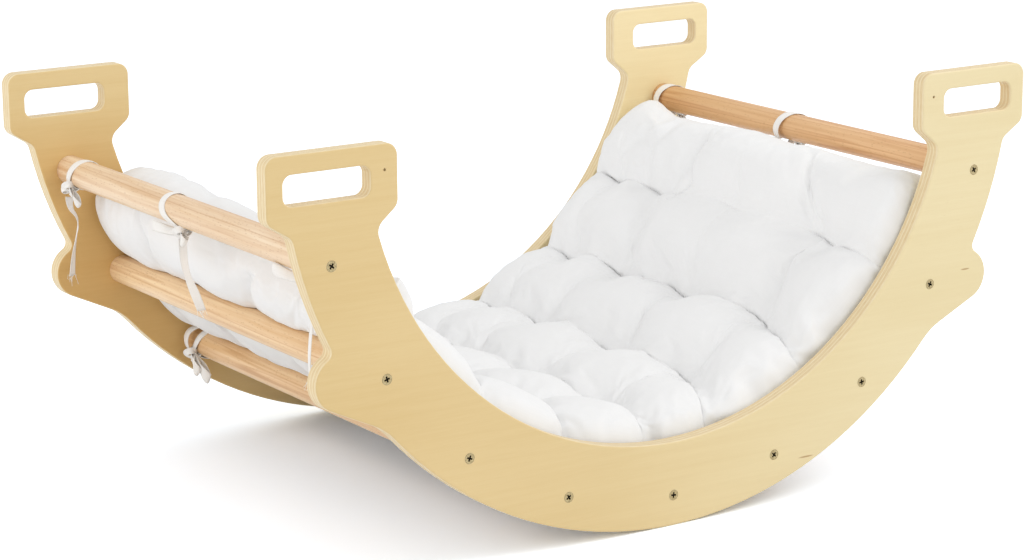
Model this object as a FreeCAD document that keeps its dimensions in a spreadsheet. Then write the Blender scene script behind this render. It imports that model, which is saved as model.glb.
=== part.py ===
import FreeCAD
import Part
import Sketcher
import math
import os
from FreeCAD import Placement, Rotation, Vector

# A play arch: two plywood side panels joined by screwed rungs, with a tufted cushion tied to the rungs.
# It is shown as a rocker, standing on the round edges of the panels. Lengths in millimetres, angles in degrees.
# X runs along the arch, Y across it (the front panel is at the lower Y), Z is up from the floor.

SIZES = {
    # The whole arch
    "overall_length": 960,
    "overall_width": 600,
    "overall_height": 450,
    # Side panels: the rocker arc and the inner arc share one centre, one rocker radius above the floor
    "panel_thickness": 18,
    "panel_edge_round": 2,
    "panel_depth": 92,
    # Heads: the flat feet of the arch when it is turned over
    "head_outer_overhang": 24.46,
    "head_inner_overhang": 29,
    "head_outer_drop": 65,
    "head_inner_drop": 62,
    "shoulder_outer_angle": 32,
    "shoulder_inner_angle": 40,
    "head_corner_radius": 13,
    "shoulder_corner_radius": 13,
    "neck_radius": 14,
    # Hand slots and the small location holes beside them
    "slot_length": 96,
    "slot_height": 31,
    "slot_side_margin": 19.5,
    "slot_top_margin": 19.5,
    "slot_corner_radius": 10,
    "location_hole_diameter": 3,
    "location_hole_depth": 8,
    "location_hole_inset": 15,
    "location_hole_drop": 26,
    # Ears: the lobes that stop the rocker from going too far
    "ear_radius": 29,
    "ear_centre_offset": 8,
    "ear_angle_share": 0.8045,
    "ear_ramp_angle": 25,
    "ear_notch_radius": 9,
    "ear_ramp_radius": 70,
    # Rungs, numbered from the left end, on a circle about the arcs' centre
    "rung_count": 9,
    "rung_diameter": 32,
    "rung_edge_distance": 33.5,
    "last_rung_drop": 113.55,
    "socket_depth": 5,
    "socket_clearance": 0.1,
    # Screws: countersunk, with a cross recess
    "screw_head_diameter": 11.5,
    "screw_head_angle": 90,
    "screw_shank_diameter": 5,
    "screw_length": 50,
    "screw_tip_length": 5,
    "screw_clearance": 0.2,
    "screw_turn_angle": 37,
    "recess_length": 6.4,
    "recess_width": 1.9,
    "recess_depth": 2,
    # Cushion, in depths from the rungs' inner line towards the arc's centre
    "cushion_clearance": 0.3,
    "cushion_left_short_angle": 0.46,
    "cushion_right_short_angle": 3.96,
    "cushion_end_angle": 2.2,
    "cushion_side_gap": 12,
    "cushion_draw_in": 8,
    "cushion_cell_share": 0.511,
    "cushion_crown_depth": 72,
    "cushion_channel_depth": 60,
    "cushion_ridge_depth": 55,
    "cushion_tuft_depth": 43,
    "cushion_side_depth": 46,
    "cushion_bottom_inset": 24,
    "cushion_sag": 8,
    "cushion_end_lift": 12,
    "cushion_end_depth": 36,
    "cushion_end_puff": 5,
    "cushion_end_share": 0.45,
    # Ties: cotton tape round a rung, knotted below it, with a tail that hangs free
    "tape_width": 10,
    "tape_thickness": 1,
    "tape_clearance": 0.3,
    "tie_inset": 20,
    "tie_middle_place": 28,
    "knot_height": 12,
    "knot_depth": 13,
    "knot_width": 14,
    "knot_round": 4,
    "knot_offset": 6,
    "knot_bite": 2,
    "knot_middle_shift": 8,
    "tail_back_drop": 91,
    "tail_middle_drop": 70,
    "tail_front_drop": 98,
}
# Sizes that follow from those above. The rocker arc goes through the floor and the outer necks of the heads.
FOLLOWING_SIZES = {
    "neck_place": "overall_length / 2 - head_outer_overhang",
    "neck_height": "overall_height - head_outer_drop",
    "rocker_radius": "( neck_place ^ 2 + neck_height ^ 2 ) / ( 2 * neck_height )",
    "inner_radius": "rocker_radius - panel_depth",
    "shoulder_fall": "rocker_radius - overall_height + head_inner_drop",
    "head_inner_place": "sqrt( inner_radius ^ 2 - shoulder_fall ^ 2 ) - head_inner_overhang",
    "head_length": "overall_length / 2 - head_inner_place",
    "ear_centre_radius": "rocker_radius + ear_centre_offset",
    "rung_circle_radius": "rocker_radius - rung_edge_distance",
    "last_rung_fall": "rocker_radius - overall_height + last_rung_drop",
    "last_rung_angle": "acos( last_rung_fall / rung_circle_radius ) / 1 deg",
    "rung_pitch_angle": "2 * last_rung_angle / ( rung_count - 1 )",
    "ear_angle": "ear_angle_share * last_rung_angle",
    "cushion_left_angle": "last_rung_angle - cushion_left_short_angle",
    "cushion_right_angle": "last_rung_angle - cushion_right_short_angle",
    "cushion_half_width": "overall_width / 2 - panel_thickness - cushion_side_gap",
    "cushion_cell_width": "cushion_half_width * cushion_cell_share",
    "tie_side_place": "overall_width / 2 - panel_thickness - tie_inset",
}
# Route of a hanging tail below its knot, in shares of its drop: across the arch (Y) and up (Z). Each one leaves
# its knot straight down.
TAIL_ROUTE_SHARES = {
    "back": [(0, 0), (0, -0.17), (-0.03, -0.36), (0.02, -0.58), (0.1, -0.8), (0.12, -1)],
    "middle": [(0, 0), (0, -0.19), (-0.06, -0.39), (-0.19, -0.6), (-0.35, -0.8), (-0.5, -1)],
    "front": [(0, 0), (0, -0.16), (-0.03, -0.33), (-0.01, -0.54), (0.05, -0.77), (0.08, -1)],
}
# How much of the shorter run beside it a tail's bend takes up
BEND_SHARE = 0.45

doc = FreeCAD.newDocument("play_arch")
sheet = doc.addObject("Spreadsheet::Sheet", "sizes")
cells = {alias: str(value) for alias, value in SIZES.items()}
cells.update({alias: f"={formula}" for alias, formula in FOLLOWING_SIZES.items()})
for row, (alias, content) in enumerate(cells.items(), start=1):
    sheet.set(f"A{row}", alias)
    sheet.set(f"B{row}", content)
    sheet.setAlias(f"B{row}", alias)
doc.recompute()

# The cells' values, for what the code works out itself
size = {alias: float(sheet.get(alias)) for alias in cells}
sub_parts = []
# How near an edge must lie to a worked-out place to be taken as the one meant, as a share of the panel
MATCH_SHARE = 0.01


def sized(expression):
    """The expression with the sheet's name before each word that is a cell's alias."""
    return " ".join(f"sizes.{word}" if word in cells else word for word in expression.split(" "))


def worked_out(expression):
    return float(sheet.evalExpression(sized(expression)))


def bind(target, prop, expression):
    """Tie a property to the sheet."""
    target.setExpression(prop, sized(expression))


def origin_feature(body, role):
    return next(feature for feature in body.Origin.OriginFeatures if feature.Role == role)


def new_sketch(body, name, plane):
    sketch = body.newObject("Sketcher::SketchObject", name)
    sketch.AttachmentSupport = (origin_feature(body, plane), [""])
    sketch.MapMode = "FlatFace"
    return sketch


def constrain(sketch, name, constraint, expression):
    """Add a dimension to a sketch and tie it to the sheet."""
    index = sketch.addConstraint(constraint)
    sketch.renameConstraint(index, name)
    bind(sketch, f"Constraints.{name}", expression)


def add_polygon(sketch, points):
    """Closed chain of lines through the points; returns the number of each line."""
    lines = []
    for start, end in zip(points, points[1:] + points[:1]):
        lines.append(sketch.addGeometry(Part.LineSegment(start, end), False))
    for line, following in zip(lines, lines[1:] + lines[:1]):
        sketch.addConstraint(Sketcher.Constraint("Coincident", line, 2, following, 1))
    return lines


def add_profile(sketch, corners):
    """Closed polygon whose corners are pairs of expressions, each tied to the sheet."""
    values = [[worked_out(text) for text in corner] for corner in corners]
    lines = add_polygon(sketch, [Vector(x, y, 0) for x, y in values])
    for number, (line, corner, value) in enumerate(zip(lines, corners, values)):
        for kind, text, distance in zip(("DistanceX", "DistanceY"), corner, value):
            rule = Sketcher.Constraint(kind, -1, 1, line, 1, distance)
            constrain(sketch, f"corner_{number}_{kind[-1].lower()}", rule, text)


def polar(radius, angle):
    """Point in a panel's own plane: the angle is counted from straight down, positive towards +X."""
    turn = math.radians(angle)
    return Vector(radius * math.sin(turn), -radius * math.cos(turn), 0)


def line_meets_circle(point, angle, radius):
    """Where the line through the point, at that slope angle, meets the circle about the origin (nearest hit)."""
    along = Vector(math.cos(math.radians(angle)), math.sin(math.radians(angle)), 0)
    middle = -point.dot(along)
    reach = math.sqrt(middle ** 2 - point.dot(point) + radius ** 2)
    hits = [point + along * (middle - reach), point + along * (middle + reach)]
    return min(hits, key=lambda hit: (hit - point).Length)


def slope(point):
    return math.atan2(point.y, point.x)


def panel_corners():
    """Corners of the right half of the side panel, in the panel's plane, with the arcs' centre at the origin."""
    half = size["overall_length"] / 2
    top = size["overall_height"] - size["rocker_radius"]
    inner = half - size["head_length"]
    corners = {"top_inner": Vector(inner, top, 0), "top_outer": Vector(half, top, 0)}
    corners["shoulder_outer"] = Vector(half, top - size["head_outer_drop"], 0)
    corners["shoulder_inner"] = Vector(inner, top - size["head_inner_drop"], 0)
    corners["neck_outer"] = line_meets_circle(
        corners["shoulder_outer"], size["shoulder_outer_angle"], size["rocker_radius"])
    corners["neck_inner"] = line_meets_circle(
        corners["shoulder_inner"], -size["shoulder_inner_angle"], size["inner_radius"])
    ear = polar(size["ear_centre_radius"], size["ear_angle"])
    corners["ear_centre"] = ear
    ramp = math.radians(size["ear_ramp_angle"])
    corners["ear_foot"] = ear + Vector(math.sin(ramp), -math.cos(ramp), 0) * size["ear_radius"]
    corners["ramp_foot"] = line_meets_circle(
        corners["ear_foot"], size["ear_ramp_angle"], size["rocker_radius"])
    # The ear's circle meets the rocker arc above the ear
    spread = (ear.Length ** 2 + size["rocker_radius"] ** 2 - size["ear_radius"] ** 2)
    opening = math.acos(spread / (2 * ear.Length * size["rocker_radius"]))
    corners["ear_notch"] = polar(size["rocker_radius"], size["ear_angle"] + math.degrees(opening))
    return corners


def edges_at(shape, places):
    """Names of the straight edges across the panel that stand at any of the places or their mirror images."""
    near = size["panel_thickness"] * MATCH_SHARE
    names = []
    for number, edge in enumerate(shape.Edges, start=1):
        middle = edge.CenterOfMass
        across = abs(edge.BoundBox.YLength - size["panel_thickness"]) < near
        gaps = [math.hypot(abs(middle.x) - place.x, middle.z - place.y) for place in places]
        if across and isinstance(edge.Curve, Part.Line) and min(gaps) < near:
            names.append(f"Edge{number}")
    return names


def face_edges(shape):
    """Names of the edges that lie in the panel's two faces."""
    near = size["panel_thickness"] * MATCH_SHARE
    names = []
    for number, edge in enumerate(shape.Edges, start=1):
        box = edge.BoundBox
        on_face = min(abs(box.YMin), abs(box.YMin - size["panel_thickness"])) < near
        if on_face and box.YLength < near:
            names.append(f"Edge{number}")
    return names


def add_fillet(body, base, name, edges, radius):
    fillet = body.newObject("PartDesign::Fillet", name)
    fillet.Base = (base, edges)
    bind(fillet, "Radius", radius)
    doc.recompute()
    return fillet


def draw_panel_half(sketch, corners):
    """The right half of the panel's outline, and its hand slot."""
    origin = Vector(0, 0, 0)
    normal = Vector(0, 0, 1)
    down = -math.pi / 2
    outer = Part.Circle(origin, normal, size["rocker_radius"])
    inner = Part.Circle(origin, normal, size["inner_radius"])
    ear = Part.Circle(corners["ear_centre"], normal, size["ear_radius"])
    ear_start = slope(corners["ear_foot"] - corners["ear_centre"])
    ear_end = slope(corners["ear_notch"] - corners["ear_centre"])
    bottom = Vector(0, -size["rocker_radius"], 0)
    saddle = Vector(0, -size["inner_radius"], 0)
    # Each stretch in turn round the outline, with the ends at which it is entered and left
    stretches = [
        ("head_top", Part.LineSegment(corners["top_inner"], corners["top_outer"]), 1, 2),
        ("head_outer", Part.LineSegment(corners["top_outer"], corners["shoulder_outer"]), 1, 2),
        ("shoulder_outer", Part.LineSegment(corners["shoulder_outer"], corners["neck_outer"]), 1, 2),
        ("upper_arc", Part.ArcOfCircle(outer, slope(corners["ear_notch"]), slope(corners["neck_outer"])), 2, 1),
        ("ear", Part.ArcOfCircle(ear, ear_start, ear_end), 2, 1),
        ("ramp", Part.LineSegment(corners["ear_foot"], corners["ramp_foot"]), 1, 2),
        ("rocker_arc", Part.ArcOfCircle(outer, down, slope(corners["ramp_foot"])), 2, 1),
        ("seam", Part.LineSegment(bottom, saddle), 1, 2),
        ("inner_arc", Part.ArcOfCircle(inner, down, slope(corners["neck_inner"])), 1, 2),
        ("shoulder_inner", Part.LineSegment(corners["neck_inner"], corners["shoulder_inner"]), 1, 2),
        ("head_inner", Part.LineSegment(corners["shoulder_inner"], corners["top_inner"]), 1, 2),
    ]
    number = {name: sketch.addGeometry(shape, False) for name, shape, _, _ in stretches}
    for (name, _, _, leave), (following, _, enter, _) in zip(stretches, stretches[1:] + stretches[:1]):
        sketch.addConstraint(Sketcher.Constraint("Coincident", number[name], leave, number[following], enter))
    for name in ("upper_arc", "rocker_arc", "inner_arc"):
        sketch.addConstraint(Sketcher.Constraint("Coincident", number[name], 3, -1, 1))
    for name in ("head_outer", "head_inner", "seam"):
        sketch.addConstraint(Sketcher.Constraint("Vertical", number[name]))
    sketch.addConstraint(Sketcher.Constraint("Horizontal", number["head_top"]))
    for name, alias in (("rocker_arc", "rocker_radius"), ("inner_arc", "inner_radius"), ("ear", "ear_radius")):
        constrain(sketch, f"{name}_size", Sketcher.Constraint("Radius", number[name], size[alias]), alias)
    for name, alias in (("head_top", "head_length"), ("head_outer", "head_outer_drop"),
                        ("head_inner", "head_inner_drop")):
        constrain(sketch, f"{name}_size", Sketcher.Constraint("Distance", number[name], size[alias]), alias)
    half = Sketcher.Constraint("DistanceX", -1, 1, number["head_outer"], 1, size["overall_length"] / 2)
    constrain(sketch, "half_length", half, "overall_length / 2")
    slot_outer = "overall_length / 2 - slot_side_margin"
    slot_top = "overall_height - rocker_radius - slot_top_margin"
    add_profile(sketch, [
        (slot_outer, slot_top),
        (f"{slot_outer} - slot_length", slot_top),
        (f"{slot_outer} - slot_length", f"{slot_top} - slot_height"),
        (slot_outer, f"{slot_top} - slot_height"),
    ])


def slot_corners():
    outer = size["overall_length"] / 2 - size["slot_side_margin"]
    top = size["overall_height"] - size["rocker_radius"] - size["slot_top_margin"]
    return [Vector(outer - along * size["slot_length"], top - down * size["slot_height"], 0)
            for along in (0, 1) for down in (0, 1)]


def make_side_panel(name, side):
    """Side panel with its outer face at local Y zero. side is -1 at the front and +1 at the back."""
    body = doc.addObject("PartDesign::Body", name)
    corners = panel_corners()
    outline = new_sketch(body, f"{name}_outline", "XZ_Plane")
    draw_panel_half(outline, corners)
    plate = body.newObject("PartDesign::Pad", f"{name}_plate")
    plate.Profile = outline
    plate.Reversed = True
    bind(plate, "Length", "panel_thickness")
    whole = body.newObject("PartDesign::Mirrored", f"{name}_whole")
    whole.Originals = [plate]
    whole.MirrorPlane = (origin_feature(body, "YZ_Plane"), [""])
    body.Tip = whole
    doc.recompute()
    # Round the corners of the outline and of the slots, then ease the edges of both faces
    rounds = [
        ("head_corners", [corners["top_inner"], corners["top_outer"]], "head_corner_radius"),
        ("shoulders", [corners["shoulder_inner"], corners["shoulder_outer"]], "shoulder_corner_radius"),
        ("necks", [corners["neck_inner"], corners["neck_outer"]], "neck_radius"),
        ("ear_notches", [corners["ear_notch"]], "ear_notch_radius"),
        ("ear_ramps", [corners["ramp_foot"]], "ear_ramp_radius"),
        ("slot_ends", slot_corners(), "slot_corner_radius"),
    ]
    last = whole
    for label, places, radius in rounds:
        last = add_fillet(body, last, f"{name}_{label}", edges_at(last.Shape, places), radius)
    last = add_fillet(body, last, f"{name}_edges", face_edges(last.Shape), "panel_edge_round")
    # Small location holes in the outer face
    pins = new_sketch(body, f"{name}_location_marks", "XZ_Plane")
    for hand, word in ((-1, "left"), (1, "right")):
        add_circle(pins, word, f"{hand} * ( overall_length / 2 - head_length + location_hole_inset )",
                   "overall_height - rocker_radius - location_hole_drop", "location_hole_diameter / 2")
    holes = body.newObject("PartDesign::Pocket", f"{name}_location_holes")
    holes.Profile = pins
    bind(holes, "Length", "location_hole_depth")
    doc.recompute()
    # The socket and the countersunk screw hole of the last rung, repeated along the arch
    end_angle = "( rung_count - 1 ) / 2 * rung_pitch_angle"
    across = f"rung_circle_radius * sin( {end_angle} * 1 deg )"
    height = f"0 - rung_circle_radius * cos( {end_angle} * 1 deg )"
    seat = new_sketch(body, f"{name}_socket_mark", "XZ_Plane")
    bind(seat, "AttachmentOffset.Base.z", "0 - panel_thickness")
    add_circle(seat, "socket", across, height, "rung_diameter / 2 + socket_clearance")
    socket = body.newObject("PartDesign::Pocket", f"{name}_socket")
    socket.Profile = seat
    socket.Reversed = True
    bind(socket, "Length", "socket_depth")
    doc.recompute()
    mark = new_sketch(body, f"{name}_screw_mark", "XZ_Plane")
    add_circle(mark, "screw", across, height, "screw_shank_diameter / 2 + screw_clearance")
    doc.recompute()
    hole = body.newObject("PartDesign::Hole", f"{name}_screw_hole")
    hole.Profile = mark
    hole.ThreadType = "None"
    hole.DepthType = "ThroughAll"
    hole.HoleCutType = "Countersink"
    bind(hole, "HoleCutCountersinkAngle", "screw_head_angle")
    bind(hole, "Diameter", "screw_shank_diameter + 2 * screw_clearance")
    bind(hole, "HoleCutDiameter", "screw_head_diameter + 2 * screw_clearance")
    doc.recompute()
    pattern = body.newObject("PartDesign::PolarPattern", f"{name}_rung_seats")
    pattern.Originals = [socket, hole]
    pattern.Axis = (origin_feature(body, "Y_Axis"), [""])
    bind(pattern, "Angle", "( rung_count - 1 ) * rung_pitch_angle")
    bind(pattern, "Occurrences", "rung_count")
    body.Tip = pattern
    # The back panel is the same panel turned round
    body.Placement.Rotation = Rotation(Vector(0, 0, 1), 180 if side > 0 else 0)
    bind(body, "Placement.Base.y", f"{side} * overall_width / 2")
    bind(body, "Placement.Base.z", "rocker_radius")
    doc.recompute()
    sub_parts.append(body)


def add_circle(sketch, name, across, height, radius):
    """Circle whose centre and radius are expressions tied to the sheet."""
    x, y, r = (worked_out(text) for text in (across, height, radius))
    circle = sketch.addGeometry(Part.Circle(Vector(x, y, 0), Vector(0, 0, 1), r), False)
    constrain(sketch, f"{name}_x", Sketcher.Constraint("DistanceX", -1, 1, circle, 3, x), across)
    constrain(sketch, f"{name}_y", Sketcher.Constraint("DistanceY", -1, 1, circle, 3, y), height)
    constrain(sketch, f"{name}_r", Sketcher.Constraint("Radius", circle, r), radius)


def revolve(body, name, corners):
    """Turned solid about the local Y axis from a half profile of (radius, place) expressions."""
    profile = new_sketch(body, f"{name}_profile", "XY_Plane")
    add_profile(profile, corners)
    turned = body.newObject("PartDesign::Revolution", f"{name}_turned")
    turned.Profile = profile
    turned.ReferenceAxis = (profile, ["V_Axis"])
    turned.Angle = 360
    doc.recompute()
    return turned


def rung_angle(number):
    """Angle of a rung from straight down; rung 1 is at the left end."""
    return (number - (size["rung_count"] + 1) / 2) * size["rung_pitch_angle"]


def rung_centre(number):
    place = polar(size["rung_circle_radius"], rung_angle(number))
    return Vector(place.x, 0, place.y + size["rocker_radius"])


def make_rung(number):
    """Beech dowel let into a socket of each panel, with a pilot bore in each end for its screw."""
    name = f"rung_{number}"
    body = doc.addObject("PartDesign::Body", name)
    end = "overall_width / 2 - panel_thickness + socket_depth"
    bore_end = "overall_width / 2 - screw_length - screw_clearance"
    bore = "screw_shank_diameter / 2 + screw_clearance"
    radius = "rung_diameter / 2"
    revolve(body, name, [
        ("0", f"0 - ( {bore_end} )"), (bore, f"0 - ( {bore_end} )"), (bore, f"0 - ( {end} )"),
        (radius, f"0 - ( {end} )"), (radius, end), (bore, end), (bore, bore_end), ("0", bore_end),
    ])
    turn = f"( {number} - ( rung_count + 1 ) / 2 ) * rung_pitch_angle * 1 deg"
    bind(body, "Placement.Base.x", f"rung_circle_radius * sin( {turn} )")
    bind(body, "Placement.Base.z", f"rocker_radius - rung_circle_radius * cos( {turn} )")
    doc.recompute()
    sub_parts.append(body)


def make_screw():
    """One countersunk screw along +Y with its head flush at local Y zero, as the pattern for all of them."""
    body = doc.addObject("PartDesign::Body", "screw_pattern")
    head = "screw_head_diameter / 2"
    shank = "screw_shank_diameter / 2"
    cone = f"( {head} - {shank} ) / tan( screw_head_angle / 2 * 1 deg )"
    revolve(body, "screw", [
        ("0", "0"), (head, "0"), (shank, cone), (shank, "screw_length - screw_tip_length"),
        ("0", "screw_length"),
    ])
    cross = new_sketch(body, "screw_recess_mark", "XZ_Plane")
    long, short = "recess_length / 2", "recess_width / 2"
    arm = [(long, f"0 - {short}"), (long, short), (short, short)]
    corners = []
    for quarter in range(4):
        for x, y in arm:
            corners.append(turned_quarters(x, y, quarter))
    add_profile(cross, corners)
    recess = body.newObject("PartDesign::Pocket", "screw_recess")
    recess.Profile = cross
    bind(recess, "Length", "recess_depth")
    doc.recompute()
    return body


def turned_quarters(x, y, quarters):
    """The pair of expressions (x, y) turned about zero by a number of quarter turns."""
    for _ in range(quarters):
        x, y = f"0 - ( {y} )", x
    return x, y


def make_screws(name, pattern, side):
    """All the screws of one side panel, each turned to where it came to rest."""
    screws = []
    for number in range(1, int(size["rung_count"]) + 1):
        centre = rung_centre(number)
        spin = Rotation(Vector(0, 1, 0), number * size["screw_turn_angle"])
        facing = Rotation(Vector(0, 0, 1), 180 if side > 0 else 0)
        place = Vector(centre.x, side * size["overall_width"] / 2, centre.z)
        screw = pattern.Tip.Shape.copy()
        screw.Placement = Placement(place, facing.multiply(spin))
        screws.append(screw)
    add_feature(name, Part.makeCompound(screws))


def add_feature(name, shape):
    feature = doc.addObject("Part::Feature", name)
    feature.Shape = shape
    sub_parts.append(feature)
    return feature


def cushion_section(angle, bottom, side, half_width, ridge, channel):
    """Closed section across the cushion at one angle of the arch. Depths count from the rungs' inner line
    inwards: the flat bottom, the side's top, the ridge of each cell and the channel between two cells. The side
    is an arc that leaves the bottom without a corner."""
    line = size["rung_circle_radius"] - size["rung_diameter"] / 2 - size["cushion_clearance"]
    axis = Vector(0, 0, size["rocker_radius"])
    down = polar(1, angle)
    cell = size["cushion_cell_width"]
    flat = half_width - size["cushion_bottom_inset"]

    def at(across, depth):
        return axis + Vector(down.x, 0, down.y) * (line - depth) + Vector(0, across, 0)

    shoulder = (cell + half_width) / 2
    stops = [-half_width, -cell, 0, cell, half_width]
    stop_depths = [side, channel, channel, channel, side]
    inset, rise = size["cushion_bottom_inset"], side - bottom
    radius = (inset ** 2 + rise ** 2) / (2 * rise)
    half_turn = math.atan2(inset, radius - rise) / 2
    bulge = flat + radius * math.sin(half_turn)
    bulge_depth = bottom + radius * (1 - math.cos(half_turn))
    edges = [Part.LineSegment(at(-flat, bottom), at(flat, bottom)).toShape()]
    edges.append(Part.Arc(at(flat, bottom), at(bulge, bulge_depth), at(half_width, side)).toShape())
    for index in range(4, 0, -1):
        start, end = stops[index], stops[index - 1]
        peak = (start + end) / 2 if 1 < index < 4 else math.copysign(shoulder, start + end)
        from_point, to_point = at(start, stop_depths[index]), at(end, stop_depths[index - 1])
        edges.append(Part.Arc(from_point, at(peak, ridge), to_point).toShape())
    edges.append(Part.Arc(at(-half_width, side), at(-bulge, bulge_depth), at(-flat, bottom)).toShape())
    return Part.Wire(edges)


def make_cushion():
    """Tufted pad: lofted along the arch through a full section over each gap and a sewn-down one at each rung."""
    sections = []
    wide = size["cushion_half_width"]
    narrow = wide - size["cushion_draw_in"]
    half_pitch = size["rung_pitch_angle"] / 2
    steps = int(size["rung_count"]) - 2
    lift = size["cushion_end_lift"]
    end_depth = size["cushion_end_depth"]

    def end_section(angle, share):
        bottom = lift * share
        fullness = 1 - share
        channel = end_depth + (size["cushion_channel_depth"] - end_depth) * fullness
        full_puff = size["cushion_crown_depth"] - size["cushion_channel_depth"]
        ridge = channel + size["cushion_end_puff"] * share + full_puff * fullness
        side = end_depth + (size["cushion_side_depth"] - end_depth) * fullness
        return cushion_section(angle, bottom, side, narrow, ridge, channel)

    left, right, rounding = size["cushion_left_angle"], size["cushion_right_angle"], size["cushion_end_angle"]
    sections.append(end_section(-left, 1))
    sections.append(end_section(-left + rounding, size["cushion_end_share"]))
    for step in range(-steps, steps + 1):
        angle = step * half_pitch
        if step % 2:
            sections.append(cushion_section(
                angle, -size["cushion_sag"], size["cushion_side_depth"], wide,
                size["cushion_crown_depth"], size["cushion_channel_depth"]))
        else:
            sections.append(cushion_section(
                angle, 0, size["cushion_tuft_depth"], narrow,
                size["cushion_ridge_depth"], size["cushion_tuft_depth"]))
    sections.append(end_section(right - rounding, size["cushion_end_share"]))
    sections.append(end_section(right, 1))
    add_feature("cushion", Part.makeLoft(sections, True, False))


def make_tie(name, rung, place, knot_shift=0):
    """Tape round a rung with its knot below, a little towards the outside of the arch, and perhaps to one side."""
    centre = rung_centre(rung) + Vector(0, place, 0)
    across = Vector(0, 1, 0)
    bore = size["rung_diameter"] / 2 + size["tape_clearance"]
    start = centre - across * (size["tape_width"] / 2)
    band = Part.makeCylinder(bore + size["tape_thickness"], size["tape_width"], start, across)
    clear_width = size["tape_width"] + size["knot_width"] + 2 * abs(knot_shift)
    opening = Part.makeCylinder(bore, clear_width, centre - across * (clear_width / 2), across)
    outward = math.copysign(1, centre.x)
    low = centre + Vector(outward * size["knot_offset"], knot_shift, size["knot_bite"] - bore - size["knot_height"])
    corner = low - Vector(size["knot_depth"] / 2, size["knot_width"] / 2, 0)
    block = Part.makeBox(size["knot_depth"], size["knot_width"], size["knot_height"], corner)
    knot = block.makeFillet(size["knot_round"], block.Edges).cut(opening)
    add_feature(name, band.cut(opening).fuse(knot).removeSplitter())
    return low


def rounded_route(points):
    """Straight runs joined by tangent arcs, each as large as its two runs allow; returns the wire and radii."""
    edges, radii = [], []
    last = points[0]
    for before, corner, after in zip(points, points[1:], points[2:]):
        arrive = (corner - before).normalize()
        leave = (after - corner).normalize()
        half_turn = arrive.getAngle(leave) / 2
        setback = BEND_SHARE * min((corner - before).Length, (after - corner).Length)
        radius = setback / math.tan(half_turn)
        start, end = corner - arrive * setback, corner + leave * setback
        towards = (leave - arrive).normalize()
        middle = corner + towards * (radius / math.cos(half_turn) - radius)
        edges.append(Part.LineSegment(last, start).toShape())
        edges.append(Part.Arc(start, middle, end).toShape())
        radii.append(round(radius, 1))
        last = end
    edges.append(Part.LineSegment(last, points[-1]).toShape())
    return Part.Wire(edges), radii


def make_tail(name, knot_foot, route_shares, drop):
    """Flat tape hanging from the foot of its knot, its width along the arch."""
    points = [knot_foot + Vector(0, across, up) * drop for across, up in route_shares]
    path, radii = rounded_route(points)
    wide, thick = size["tape_width"] / 2, size["tape_thickness"] / 2
    along = (points[1] - points[0]).normalize()
    face = along.cross(Vector(1, 0, 0))
    corners = [knot_foot + Vector(x * wide, 0, 0) + face * (n * thick) for x, n in
               ((-1, -1), (1, -1), (1, 1), (-1, 1), (-1, -1))]
    tape = path.makePipeShell([Part.makePolygon(corners)], True, True)
    expected = size["tape_width"] * size["tape_thickness"] * path.Length
    print(name, "length", round(path.Length, 1), "radii", radii, "volume share", round(tape.Volume / expected, 4))
    add_feature(name, tape)


make_side_panel("front_side_panel", -1)
make_side_panel("back_side_panel", 1)
for rung in range(1, int(size["rung_count"]) + 1):
    make_rung(rung)
screw = make_screw()
make_screws("front_screws", screw, -1)
make_screws("back_screws", screw, 1)
make_cushion()
end_places = {"back": size["tie_side_place"], "middle": size["tie_middle_place"], "front": -size["tie_side_place"]}
knot_shifts = {"back": 0, "middle": -size["knot_middle_shift"], "front": 0}
last_rung = int(size["rung_count"])
for rung in (1, last_rung):
    for word, place in end_places.items():
        foot = make_tie(f"tie_rung_{rung}_{word}", rung, place, knot_shifts[word])
        make_tail(f"tail_rung_{rung}_{word}", foot, TAIL_ROUTE_SHARES[word], size[f"tail_{word}_drop"])
for rung in (3, last_rung - 2):
    for word, side in (("back", 1), ("front", -1)):
        make_tie(f"tie_rung_{rung}_{word}", rung, side * size["tie_side_place"])
doc.recompute()

# Nothing is written unless every object is sound
for item in doc.Objects:
    if "Invalid" in item.State or "Error" in item.State:
        raise RuntimeError(f"{item.Label} could not be built: {item.State}")
for item in sub_parts:
    if item.Shape.isNull() or not item.Shape.isValid():
        raise RuntimeError(f"{item.Label} has no sound shape")
os.makedirs("parts", exist_ok=True)
for item in sub_parts:
    item.Shape.exportStep(f"parts/{item.Label}.step")
    print(item.Label, len(item.Shape.Solids), "solids", round(item.Shape.Volume / 1000, 2), "cm3")
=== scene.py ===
import math
from types import SimpleNamespace
import bpy
import numpy as np
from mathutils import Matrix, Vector


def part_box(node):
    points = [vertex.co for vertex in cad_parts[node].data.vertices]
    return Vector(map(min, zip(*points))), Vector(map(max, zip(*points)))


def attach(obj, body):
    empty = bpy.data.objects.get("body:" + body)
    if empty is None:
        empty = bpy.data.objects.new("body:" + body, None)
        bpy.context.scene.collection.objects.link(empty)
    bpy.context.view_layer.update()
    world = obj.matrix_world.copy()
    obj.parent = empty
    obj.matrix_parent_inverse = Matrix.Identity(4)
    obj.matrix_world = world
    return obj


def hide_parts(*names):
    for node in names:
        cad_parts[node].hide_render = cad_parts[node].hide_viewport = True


# Looks of a play arch: plywood side panels, beech rungs, screws, a tufted cotton cushion and its tapes.
# Metres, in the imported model's own frame: X along the arch, Y towards the back panel, Z up from the floor.

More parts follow.
